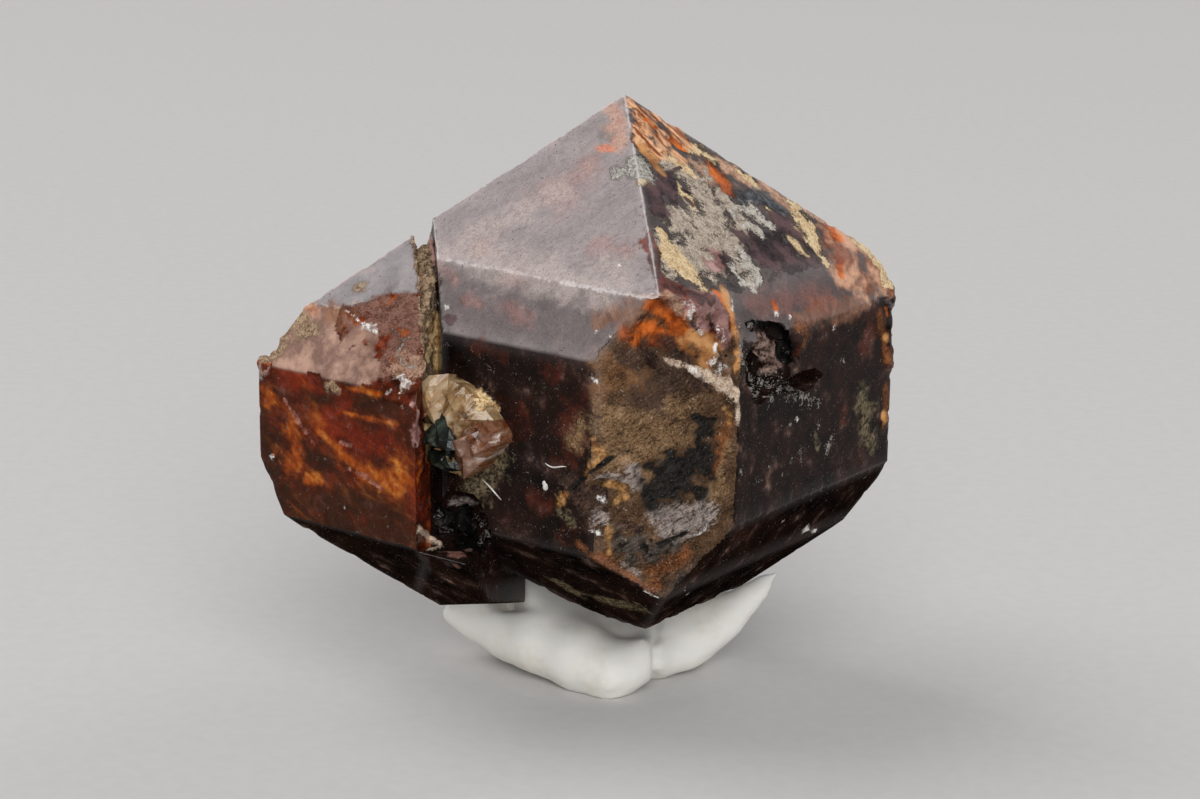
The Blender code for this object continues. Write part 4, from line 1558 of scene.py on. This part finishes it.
        ((284, 400, 1.2), (292, 412, 1.5), (300, 425, 1.5), (308, 437, 1.2), (315, 446, 1)), ((350, 470, 1),
        (365, 477, 1), (380, 488, 1)), ((340, 443, 1), (350, 446, 1)),
    )),
    "ivory": Patch(1.6, (
        ((256, 370, 3), (258, 378, 3)),
    )),
    "ochre": Patch(1.3, (
        ((728, 425, 4), (722, 438, 5), (718, 450, 4), (716, 462, 4), (712, 475, 3)), ((580, 545, 3),
        (592, 555, 4), (608, 563, 5), (620, 572, 5), (633, 580, 4)), ((650, 570, 5), (662, 568, 6),
        (673, 563, 6), (684, 553, 5)), ((655, 583, 5), (650, 590, 4)), ((565, 495, 3),), ((879, 312, 4),
        (884, 335, 4), (886, 360, 3.5)), ((886, 385, 3.5), (887, 405, 4), (884, 432, 4)), ((797, 326, 4),
        (806, 334, 5), (803, 346, 3)),
    )),
    "gold": Patch(1.25, (
        ((605, 485, 2), (612, 483, 3), (622, 487, 4), (625, 497, 3), (615, 502, 3)), ((562, 495, 4),
        (560, 503, 3)), ((610, 530, 3), (612, 540, 4)), ((608, 552, 2),), ((593, 440, 3), (599, 458, 4),
        (586, 474, 3)), ((725, 410, 3), (733, 425, 3)),
    )),
}

# how far the patches stand out, in millimetres
RELIEF: Mapping[str, float] = {
    "mauve": 0.05, "bloom": 0.03, "rim": 0.08, "fire": -0.06, "cream": 0.012, "beige": 0.008,
    "isle": 0.015, "granite": 0.012, "glint": 0.05, "druse": 0.16, "frost": 0.01, "soot": -0.05,
    "void_shade": -0.16, "crack": -0.05, "hollow_shade": -0.06, "ash": 0.03, "straw": 0.015, "salmon": 0.03,
    "brick": 0.03, "flame": 0.05, "lamella": 0.02,
}
# the share of its strength that a sparse patch keeps
SPARSE: Mapping[str, float] = {"frost": 0.56, "glint": 0.72}
# the patches under which the second crystal isn't clear
CLOUDY = (
    "brick", "salmon", "straw", "glint", "ivory", "mauve", "fawn", "wedge", "rim", "shadow", "crack",
)


@dataclass
class CrystalSkin:
    """The intergrown crystals, finely divided, broken, chipped and painted."""

    name: str = "zircon_skin"
    node: str = "zircon_crystal"
    slot: str = "zircon"
    depth: int = 8
    fill: float = 0.80
    wear_and_highlight_width: float = 0.24
    fractures: tuple[Spot, ...] = (
        (8.6, -0.95, 6.55, 2.4), (7.7, -2.35, 6.6, 1.4), (5.95, -4.15, 7.95, 1.9), (4.5, -5.5, 9.1, 1.5),
        (4.0, 5.95, 13.7, 1.6), (3.4, -6.1, 15.6, 1.0), (-5.9, 3.7, 10.8, 1.8),
        (-7.2, -1.6, 7.2, 1.9), (2.6, 8.3, 7.75, 1.9), (0.45, -9.28, 9.0, 0.8), (0.45, -9.28, 7.3, 0.8),
        (0.45, -9.28, 11.6, 0.7),
    )
    druses: tuple[Spot, ...] = (
        (5.2, -4.2, 7.9, 1.3), (4.4, -5.2, 9.1, 0.9), (3.4, 6.0, 13.7, 1.1), (-5.6, 3.6, 10.8, 1.3),
    )
    rubble: tuple[Spot, ...] = (
        (2.6, 8.2, 7.6, 1.3), (3.9, 7.8, 9.2, 0.6), (0.2, 12.0, 8.6, 0.6), (0.1, -9.3, 7.3, 0.7),
        (0.1, -9.3, 9.3, 0.8), (3.4, -6.1, 15.4, 0.9), (3.8, 6.6, 14.9, 0.7), (7.0, -2.4, 7.9, 0.7),
        (1.0, -0.4, 0.9, 0.9), (4.3, 7.4, 11.5, 0.5), (4.3, 7.4, 10.3, 0.5), (4.3, 7.4, 12.8, 0.5),
    )
    lodged: tuple[Spot, ...] = (
        (4.48, 5.72, 10.20, 2.2), (3.85, 6.75, 9.50, 1.3), (3.92, 6.55, 10.80, 1.3), (4.0, 6.2, 11.85, 0.9),
    )
    side_start: float = 5.0
    past_main: float = 0.05
    side_slack: float = 0.25
    notch_start: float = 3.0
    off_crystal: float = 0.06
    flat_front: float = 6.4
    flat_half_width: float = 3.6
    flat_facing: float = 0.75
    flat_top: tuple[float, float] = (5.2, 5.9)
    flat_foot: tuple[float, float] = (15.2, 15.9)
    seam_left: float = 6.85
    seam_half_width: float = 0.42
    seam_end: float = 9.5
    seam_gap: float = 0.04
    underside_top: float = 12.5
    underside_tilt: float = -0.30
    plate_size: float = 0.42
    grain_size: float = 0.24
    swell_size: float = 1.5
    crumb_size: float = 0.45
    notch_size: float = 0.9
    lodged_drop: float = 0.30
    shell_centre: tuple[float, float, float] = (7.4, 1.4, 5.6)
    shell_turns: float = 9.0
    chip_width: float = 0.16
    chip_depth: float = 0.12
    patch_fray: float = 0.40
    patch_swell: float = 0.70
    faintest: float = 0.03
    back_sheen_film: float = 0.35
    prism_wear_and_highlight: float = 0.25
    plain_wear_and_highlight: float = 0.55
    side_wear_and_highlight: float = 0.90
    sharp_degrees: float = 38

    def make(self, frame: dict) -> bpy.types.Object:
        """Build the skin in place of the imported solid.


        Returns:
            The skin.
        """
        skin = fine_copy(frame["nodes"][self.node], self.name, self.depth, self.fill)
        surface = Surface(skin)
        grain = Grain(11)
        self.read_faces(surface)
        self.read_patches(surface.sites, grain, Sight(frame["nodes"][self.node]))
        self.sculpt(surface, grain)
        surface.keep_within(*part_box(self.node))
        self.paint(surface)
        self.dress(skin)
        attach(skin, "root")
        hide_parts(self.node)
        return skin

    def read_faces(self, surface: Surface) -> None:
        """Find which crystal and growth face each point belongs to.

        Args:
            surface: The fresh surface.
        """
        sites = surface.sites
        main = MAIN_CRYSTAL.depths(sites)
        side = SIDE_CRYSTAL.depths(sites)
        self.on_side = main.min(1) < -self.past_main
        self.on_side &= (sites[:, 1] > self.side_start) & (side.min(1) > -self.side_slack)
        spare = ((0, 0), (0, main.shape[1] - side.shape[1]))
        depths = np.where(self.on_side[:, None], np.pad(side, spare, constant_values=Grain.far), main)
        order = np.argsort(np.abs(depths), axis=1)
        ordered = np.take_along_axis(np.abs(depths), order, axis=1)
        self.off_face = ordered[:, 0]
        self.off_edge = ordered[:, 1]
        self.face = order[:, 0]
        self.next_face = order[:, 1]
        out = surface.normals @ FRONT
        front, left, below = sites.T
        on_flat = (out > self.flat_facing) & (front > self.flat_front) & (np.abs(left) < self.flat_half_width)
        self.sugar = on_flat * ease(below, *self.flat_top) * (1 - ease(below, *self.flat_foot))
        in_seam = (np.abs(left - self.seam_left) < self.seam_half_width) & (below < self.seam_end)
        self.seam = in_seam & ~self.touch(main, self.seam_gap)
        off_both = (main.min(1) < -self.off_crystal) & (side.min(1) < -self.off_crystal)
        self.grown = off_both & (left > self.notch_start)
        self.below = (surface.normals[:, 2] < self.underside_tilt) & (below > self.underside_top)

    def read_patches(self, sites: np.ndarray, grain: Grain, sight: Sight) -> None:
        """Work out the strength of every patch, before the surface is moved.

        Args:
            sites: The fresh surface's sites.
            grain: The noise that frays the patches.
            sight: Finds the sites of the strokes.
        """
        ripple = self.patch_fray * grain.fractal(sites, self.patch_swell, 4, 0.70)
        self.strengths = {name: patch.strength(sites, ripple, sight) for name, patch in PATCHES.items()}
        for name, share in SPARSE.items():
            self.strengths[name] *= share
        self.strengths["straw"] = np.maximum(self.strengths["straw"], self.seam * 0.7)
        lodged = self.inside(sites, self.lodged) * self.grown
        self.strengths["wedge"] = np.maximum(self.strengths["wedge"], lodged)

    @staticmethod
    def touch(depths: np.ndarray, gap: float) -> np.ndarray:
        """Which points lie within a gap of a face, and outside none."""
        return np.abs(depths.min(1)) < gap

    @staticmethod
    def inside(sites: np.ndarray, balls: Sequence[Spot]) -> np.ndarray:
        """Find the sites inside any of some balls.

        Args:
            sites: The sites, one to a row.
            balls: The balls, each a site and a radius.

        Returns:
            1 for each site deep in a ball, fading to 0 over the ball's outer third.
        """
        total = np.zeros(len(sites))
        for front, left, below, radius in balls:
            gap = np.linalg.norm(sites - (front, left, below), axis=1) / radius
            total = np.maximum(total, 1 - ease(gap, 0.67, 1.0))
        return total

    def sculpt(self, surface: Surface, grain: Grain) -> None:
        """Round off the fractures, then raise the sugary, druse and rubble textures and chip the edges.

        Args:
            surface: The surface, moved in place.
            grain: The noise.
        """
        fresh = surface.sites
        broken = ease(self.off_face, 0.02, 0.08)
        fracture = self.inside(fresh, self.fractures) * broken
        surface.soften(0.5 * fracture, 8)
        surface.soften(0.5 * self.sugar, 4)
        sites = surface.sites
        druse = self.inside(sites, self.druses) * broken
        rubble = self.inside(sites, self.rubble)
        nearest, second = grain.cells(sites, self.plate_size)
        small, _ = grain.cells(sites + 31, self.grain_size)
        crystals = 0.5 - nearest
        shards = np.minimum(second - nearest, 0.35)
        swell = grain.fractal(sites, self.swell_size, 4)
        crumb = grain.fractal(sites + 9, self.crumb_size, 3)
        height = self.sugar * (0.07 * swell + 0.09 * crumb + 0.07 * (0.5 - small))
        height += druse * (0.26 * crystals + 0.10 * crumb)
        height += rubble * (0.10 * shards + 0.09 * crumb + 0.05 * swell)
        height += self.seam * (0.12 * (0.5 - small) + 0.10 * crumb)
        shell = np.linalg.norm(sites - self.shell_centre, axis=1)
        ripple = np.sin(shell * self.shell_turns + 1.3 * swell)
        height += self.inside(sites, self.fractures[:2]) * broken * (0.018 * ripple + 0.03 * crumb)
        for name, rise in RELIEF.items():
            height += ease(self.strengths[name], 0.35, 0.65) * rise * (1 + 0.8 * crumb)
        notch = grain.fractal(sites + 5, self.notch_size, 3)
        wear_and_highlight = np.exp(-((self.off_edge / self.chip_width) ** 2)) * (self.off_face < 0.03)
        height -= wear_and_highlight * self.chip_depth * np.clip(notch - 0.10, 0, 1)
        height -= self.lodged_drop * self.inside(fresh, self.lodged) * self.grown
        surface.lift(height)

    def paint(self, surface: Surface) -> None:
        """Keep the fields that the finishes read.

        Args:
            surface: The sculpted surface.
        """
        # the film with its painted sheen is set face by face
        sheen_film = np.zeros(len(self.face))
        flesh = sheen_film.copy()
        weight = np.full(len(self.face), self.plain_wear_and_highlight)
        columns = [(side, kind) for side in MAIN_CRYSTAL.prisms for kind in self.kinds(MAIN_CRYSTAL, side)]
        for column, key in enumerate(columns):
            sheen_film[(self.face == column) & ~self.on_side] = MAIN_SHEEN_FILM.get(key, 0.0)
            if key in BRIGHT_EDGED:
                beside = (self.next_face == column) & (key[1] is FaceKind.PYRAMID)
                weight[((self.face == column) | beside) & ~self.on_side] = BRIGHT_EDGED[key]
            elif key[1] is FaceKind.PRISM:
                weight[(self.face == column) & ~self.on_side] = self.prism_wear_and_highlight
        side_columns = [kind for side in SIDE_CRYSTAL.prisms for kind in self.kinds(SIDE_CRYSTAL, side)]
        for column, kind in enumerate(side_columns):
            here = (self.face == column) & self.on_side
            sheen_film[here] = SIDE_SHEEN_FILM.get(kind, 0.0)
            flesh[here] = 0.95 * (kind is FaceKind.STEEP)
            if kind is FaceKind.PYRAMID:
                weight[here] = self.side_wear_and_highlight
        off = self.off_face > self.off_crystal
        sheen_film[off] = np.where(surface.sites[off, 0] < -1, self.back_sheen_film, 0.0)
        flesh[off] = 0.0
        surface.store("sheen_film", sheen_film)
        surface.store("flesh", flesh)
        surface.store("sugar", self.sugar)
        # a painted highlight with pale wear along the edges, stronger on the upper part of the crystal
        line = np.clip(1 - self.off_edge / self.wear_and_highlight_width, 0, 1) * ~off
        upper = ease(-surface.sites[:, 2], -10.5, -8.5)
        surface.store("wear_and_highlight", line * weight * (0.6 + 0.4 * upper))
        cloud = np.max([self.strengths[name] for name in CLOUDY], axis=0)
        surface.store("cloud", np.maximum(ease(np.maximum(cloud, flesh), 0.2, 0.5), off))
        for name, strength in self.strengths.items():
            surface.store(name, np.where(strength > self.faintest, strength, 0.0))

    @staticmethod
    def kinds(form: CrystalForm, side: Side) -> list[FaceKind]:
        """The face kinds of one side, in the order of the form's planes."""
        return [*list(FaceKind)[:4], *[FaceKind.LOWER] * (side in form.lower_steps)]

    def dress(self, skin: bpy.types.Object) -> None:
        """Give the main crystal, the second crystal and the undersides their own finishes.

        Args:
            skin: The skin.
        """
        skin.data.materials.append(ZirconFinish().build())
        skin.data.materials.append(AmberFinish().build())
        # the undersides: a darker copy with painted shade beneath the crystal, and no specular
        skin.data.materials.append(ZirconFinish(
            "zircon_underside", specular=0.0, gloss=0.45, black=tone(11, 8, 7), brown=tone(34, 22, 17),
            maroon=tone(64, 38, 29)).build())
        count = len(skin.data.polygons)
        starts = np.empty(count, np.int32)
        totals = np.empty(count, np.int32)
        skin.data.polygons.foreach_get("loop_start", starts)
        skin.data.polygons.foreach_get("loop_total", totals)
        corners = np.empty(len(skin.data.loops), np.int32)
        skin.data.loops.foreach_get("vertex_index", corners)
        slots = np.zeros(count, np.int32)
        for slot, mask in enumerate((self.on_side, self.below), 1):
            share = np.add.reduceat(mask[corners].astype(float), starts) / totals
            slots[share > 0.5] = slot
        skin.data.polygons.foreach_set("material_index", slots)
        shade(skin, self.sharp_degrees)


# ---- small broken pieces ----

@dataclass
class Splinter:
    """A broken plate of glassy crystal, lodged in the notch between the crystals.

    Its outline is seen from outside, as places across and up from a site, and its top rises in chipped
    slopes to a crown.
    """

    name: str
    site: tuple[float, float, float]
    facing: tuple[float, float, float]
    outline: tuple[tuple[float, float], ...]
    crown_at: tuple[float, float]
    finish: GlassFinish
    seed: int
    crown: float = 0.5
    thickness: float = 0.7
    rings: tuple[tuple[float, float], ...] = ((1.0, -1.0), (1.03, 0.12), (0.60, 0.85), (0.22, 1.0))
    jitter: float = 0.12
    uneven: float = 0.36
    sharp_degrees: float = 9

    def make(self) -> bpy.types.Object:
        """Build the piece and dress it.

        Returns:
            The piece.
        """
        piece = self.block()
        piece.data.materials.append(self.finish.build())
        shade(piece, self.sharp_degrees)
        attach(piece, "root")
        return piece

    def block(self) -> bpy.types.Object:
        """Draw the block: rings of the outline, each drawn in and raised, with uneven corners.

        Returns:
            The block.
        """
        out = heading(*self.facing)
        across = Vector(UP).cross(out).normalized()
        up = out.cross(across)
        middle = place(*self.site)
        draw = np.random.default_rng(self.seed)
        bm = bmesh.new()
        rings = []
        for scale, rise in self.rings:
            height = rise * (self.crown if rise > 0 else self.thickness)
            ring = []
            for spot in self.outline:
                drawn = [far + (part - far) * scale for part, far in zip(spot, self.crown_at)]
                drawn = [part + draw.uniform(-self.jitter, self.jitter) * (rise > 0) for part in drawn]
                lift = height + draw.uniform(-self.uneven, self.uneven) * self.crown * (rise > 0)
                ring.append(bm.verts.new(middle + (across * drawn[0] + up * drawn[1] + out * lift) * MM))
            rings.append(ring)
        count = len(self.outline)
        for first, second in zip(rings, rings[1:]):
            for corner in range(count):
                after = (corner + 1) % count
                bm.faces.new((first[corner], first[after], second[after]))
                bm.faces.new((first[corner], second[after], second[corner]))
        for ring in (rings[0], rings[-1]):
            centre = bm.verts.new(sum((vert.co for vert in ring), Vector()) / count)
            for corner in range(count):
                bm.faces.new((ring[corner], ring[(corner + 1) % count], centre))
        bmesh.ops.recalc_face_normals(bm, faces=bm.faces)
        return finish_mesh(self.name, bm)


HONEY = GlassFinish(
    "honey_glass", tone(84, 58, 30), tone(184, 142, 92), tone(232, 202, 156), tone(255, 246, 228)
)
AMBER = GlassFinish(
    "amber_glass", tone(88, 42, 16), tone(138, 78, 40), tone(180, 130, 100), tone(244, 230, 222)
)
IVORY = GlassFinish(
    "ivory_glass", tone(160, 112, 66), tone(222, 178, 128), tone(240, 212, 172), tone(250, 236, 214)
)
SMOKY = GlassFinish(
    "dark_glass", tone(12, 15, 12), tone(24, 30, 25), tone(46, 52, 45), tone(80, 86, 76), 0.35, 0.0
)
SPLINTERS: tuple[Splinter, ...] = (
    Splinter("honey_slab", (4.69, 5.93, 10.17), (1, 1, 0.15),
             ((-1.74, 0.43), (-1.24, 1.16), (-0.87, 1.46), (0.05, 1.18), (0.82, 0.70), (1.15, 0.29),
              (0.28, -0.54), (-0.47, -0.81), (-1.01, 0.04)), (-0.2, 0.35), HONEY, 3, 0.45, 1.3),
    Splinter("amber_lobe", (4.69, 5.93, 10.17), (1, 1, 0.15),
             ((-0.57, -0.63), (-0.09, -0.20), (0.56, 0.25), (1.13, 0.49), (1.51, 0.08), (1.50, -0.39),
              (1.01, -1.02), (0.21, -1.64), (-0.28, -1.49)), (0.95, -0.15), AMBER, 21, 0.55, 1.3),
    Splinter("ivory_flake", (4.23, 6.98, 9.42), (1, 0.6, 0.2),
             ((-0.64, 0.43), (-0.11, 0.69), (0.50, 0.83), (0.41, 0.12), (0.22, -0.78), (-0.30, -0.20)),
             (0.05, 0.2), IVORY, 5, 0.22, 1.0),
    Splinter("green_shard", (4.31, 6.86, 10.80), (1, 0.8, 0),
             ((0.23, 0.98), (0.54, 0.38), (0.86, -0.23), (0.06, -0.29), (-0.74, -0.24), (-0.38, 0.34)),
             (0.1, 0.1), SMOKY, 9, 0.25, 1.0),
    Splinter("dark_grain", (4.21, 6.41, 11.85), (1, 1, 0),
             ((-0.82, 0.56), (-0.12, 0.76), (0.36, 0.57), (0.40, 0.06), (-0.12, -0.11), (-0.65, 0.14)),
             (-0.1, 0.3), SMOKY, 12, 0.25, 0.8),
)


@dataclass
class Lint:
    """White fibres and specks of dust lying on the crystal."""

    name: str = "white_lint"
    fibre_radius: float = 0.030
    fibres: tuple[tuple[tuple[float, float, float], ...], ...] = (
        ((6.36, 3.44, 11.08), (6.60, 3.22, 11.16), (6.78, 3.04, 11.10), (7.00, 2.82, 11.04)),
        ((4.50, 5.32, 12.15), (4.74, 5.08, 12.36), (4.92, 4.90, 12.55), (5.08, 4.74, 12.71)),
    )
    specks: tuple[Spot, ...] = ((6.39, 3.42, 11.89, 0.10), (6.34, 3.46, 11.78, 0.07))
    speck_shape: tuple[float, float, float] = (1.0, 0.8, 1.3)
    sharp_degrees: float = 60

    def make(self) -> bpy.types.Object:
        """Build all the lint as one mesh.

        Returns:
            The lint.
        """
        bm = bmesh.new()
        for line in self.fibres:
            self.fibre(bm, [np.array(place(*site)) for site in line])
        for front, left, below, radius in self.specks:
            lump = Matrix.Translation(place(front, left, below)) @ Matrix.Diagonal((*self.speck_shape, 1))
            bmesh.ops.create_icosphere(bm, subdivisions=2, radius=radius * MM, matrix=lump)
        lint = finish_mesh(self.name, bm)
        lint.data.materials.append(DustFinish().build())
        shade(lint, self.sharp_degrees)
        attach(lint, "root")
        return lint

    def fibre(self, bm: bmesh.types.BMesh, marks: list[np.ndarray], sides: int = 6, steps: int = 24) -> None:
        """Add one fibre that bends smoothly through its marks and tapers at both ends.

        Args:
            bm: The mesh to add to.
            marks: The points it passes.
            sides: How many sides it has.
            steps: How many rings it has.
        """
        table = np.array(marks)
        share = np.linspace(0, len(marks) - 1, steps)
        fit = [np.polyfit(np.arange(len(marks)), table[:, axis], len(marks) - 1) for axis in range(3)]
        path = np.stack([np.polyval(part, share) for part in fit], axis=1)
        rings = []
        for index, spot in enumerate(path):
            along = Vector(path[min(index + 1, steps - 1)] - path[max(index - 1, 0)]).normalized()
            across = along.orthogonal().normalized()
            other = along.cross(across)
            taper = math.sqrt(max(0.04, math.sin(math.pi * (index + 0.3) / (steps - 0.4))))
            radius = self.fibre_radius * taper * MM
            turns = [2 * math.pi * corner / sides for corner in range(sides)]
            rings.append([bm.verts.new(Vector(spot) + radius * (across * math.cos(t) + other * math.sin(t)))
                          for t in turns])
        for first, second in zip(rings, rings[1:]):
            for corner in range(sides):
                after = (corner + 1) % sides
                bm.faces.new((first[corner], first[after], second[after], second[corner]))
        bm.faces.new(list(reversed(rings[0])))
        bm.faces.new(rings[-1])


# ---- the tack ----

@dataclass
class TackPad:
    """The pad of white tack, with its pressed folds."""

    name: str = "tack_pad"
    node: str = "mounting_tack"
    slot: str = "white_tack"
    depth: int = 7
    fill: float = 0.90
    passes: int = 14
    fold_width: float = 1.9
    fold_height: float = 0.05
    crease_at: float = 1.38
    crease_width: float = 0.15
    crease_depth: float = 0.20
    sharp_degrees: float = 60

    def make(self, frame: dict) -> bpy.types.Object:
        """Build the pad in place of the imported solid.


        Returns:
            The pad.
        """
        pad = fine_copy(frame["nodes"][self.node], self.name, self.depth, self.fill)
        surface = Surface(pad)
        grain = Grain(23)
        free = ease(surface.points[:, 2] / MM, 0.02, 0.35)
        surface.soften(0.6 * free, self.passes)
        spread = surface.points / MM
        fold = grain.fractal(spread * (1.0, 0.6, 1.6), self.fold_width, 3)
        off_crease = (spread[:, 0] - self.crease_at) / self.crease_width + fold
        crease = np.exp(-(off_crease ** 2)) * (spread[:, 1] < 0.5)
        surface.lift(free * (self.fold_height * fold - self.crease_depth * crease))
        surface.keep_within(*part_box(self.node))
        pad.data.materials.append(TackFinish().build())
        shade(pad, self.sharp_degrees)
        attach(pad, "root")
        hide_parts(self.node)
        return pad


# ---- the studio ----

@dataclass(frozen=True)
class Lamp:
    """A soft square light that faces the crystal, with its way and distance from there in metres.

    Its glow is how bright it makes a white surface that faces it.
    """

    name: str
    way: tuple[float, float, float]
    distance: float
    size: float
    glow: float
    colour: Colour


@dataclass
class Studio:
    """The floor, the lights and the camera."""

    viewpoint: Viewpoint = VIEWPOINT
    lamps: tuple[Lamp, ...] = (
        Lamp("key", (-0.56, 0.22, 0.80), 1.2, 0.9, 0.45, (1.0, 0.98, 0.96)),
        Lamp("front", (0.10, -0.75, 0.65), 1.3, 1.0, 0.62, (1.0, 1.0, 1.0)),
        Lamp("low", (0.15, -0.95, 0.30), 1.4, 0.7, 0.20, (1.0, 0.99, 0.98)),
        Lamp("right", (0.627, 0.494, 0.601), 1.2, 0.5, 0.12, (1.0, 0.97, 0.94)),
    )
    middle: tuple[float, float, float] = (0.0, 0.0, 0.012)
    floor_size: float = 1.2
    air: Colour = (0.78, 0.80, 0.84)
    air_strength: float = 0.22
    near: float = 0.005
    far: float = 20.0

    def make(self) -> None:
        """Set everything up."""
        self.lay_floor()
        for lamp in self.lamps:
            self.light(lamp)
        self.fill_world()
        self.set_camera()
        bpy.context.scene.view_settings.view_transform = "Standard"

    def lay_floor(self) -> None:
        """A wide pale floor."""
        bm = bmesh.new()
        bmesh.ops.create_grid(bm, x_segments=8, y_segments=8, size=self.floor_size)
        floor = finish_mesh("studio_floor", bm)
        floor.data.materials.append(StudioFinish().build())

    def light(self, lamp: Lamp) -> None:
        """Hang a lamp.

        Args:
            lamp: The lamp.
        """
        data = bpy.data.lights.new(lamp.name, "AREA")
        data.size = lamp.size
        data.energy = lamp.glow * (math.pi * lamp.distance) ** 2
        data.color = lamp.colour
        way = Vector(lamp.way)
        item = add_object(lamp.name, data)
        item.location = Vector(self.middle) + way.normalized() * lamp.distance
        item.rotation_euler = way.to_track_quat("Z", "Y").to_euler()

    def fill_world(self) -> None:
        """An even, dim surrounding light."""
        world = bpy.data.worlds.new("studio_air")
        bpy.context.scene.world = world
        world.use_nodes = True
        air = world.node_tree.nodes["Background"]
        air.inputs["Color"].default_value = (*self.air, 1)
        air.inputs["Strength"].default_value = self.air_strength

    def set_camera(self) -> None:
        """Stand the camera where it sees the crystal from a little above."""
        right, down, ahead = self.viewpoint.axes()
        camera = bpy.data.cameras.new("camera")
        camera.lens = self.viewpoint.lens
        camera.sensor_width = self.viewpoint.sensor
        camera.clip_start = self.near
        camera.clip_end = self.far
        item = add_object("camera", camera)
        turn = Matrix((right, -down, -ahead)).transposed()
        item.matrix_world = Matrix.Translation(Vector(self.viewpoint.eye)) @ turn.to_4x4()
        bpy.context.scene.camera = item


def corners(box: Sequence[Vector]) -> list[list[float]]:
    """A box's corners as plain lists."""
    return [list(corner) for corner in box]


def main() -> None:
    """Build the whole piece and report its face counts."""
    logging.basicConfig(level=logging.INFO, format="%(name)s: %(message)s")
    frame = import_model()
    pieces = [CrystalSkin().make(frame), TackPad().make(frame)]
    pieces += [splinter.make() for splinter in SPLINTERS]
    pieces.append(Lint().make())
    Studio().make()
    for piece in pieces:
        LOG.info("%s: %d faces", piece.name, len(piece.data.polygons))
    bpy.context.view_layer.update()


if __name__ == "__main__":
    main()
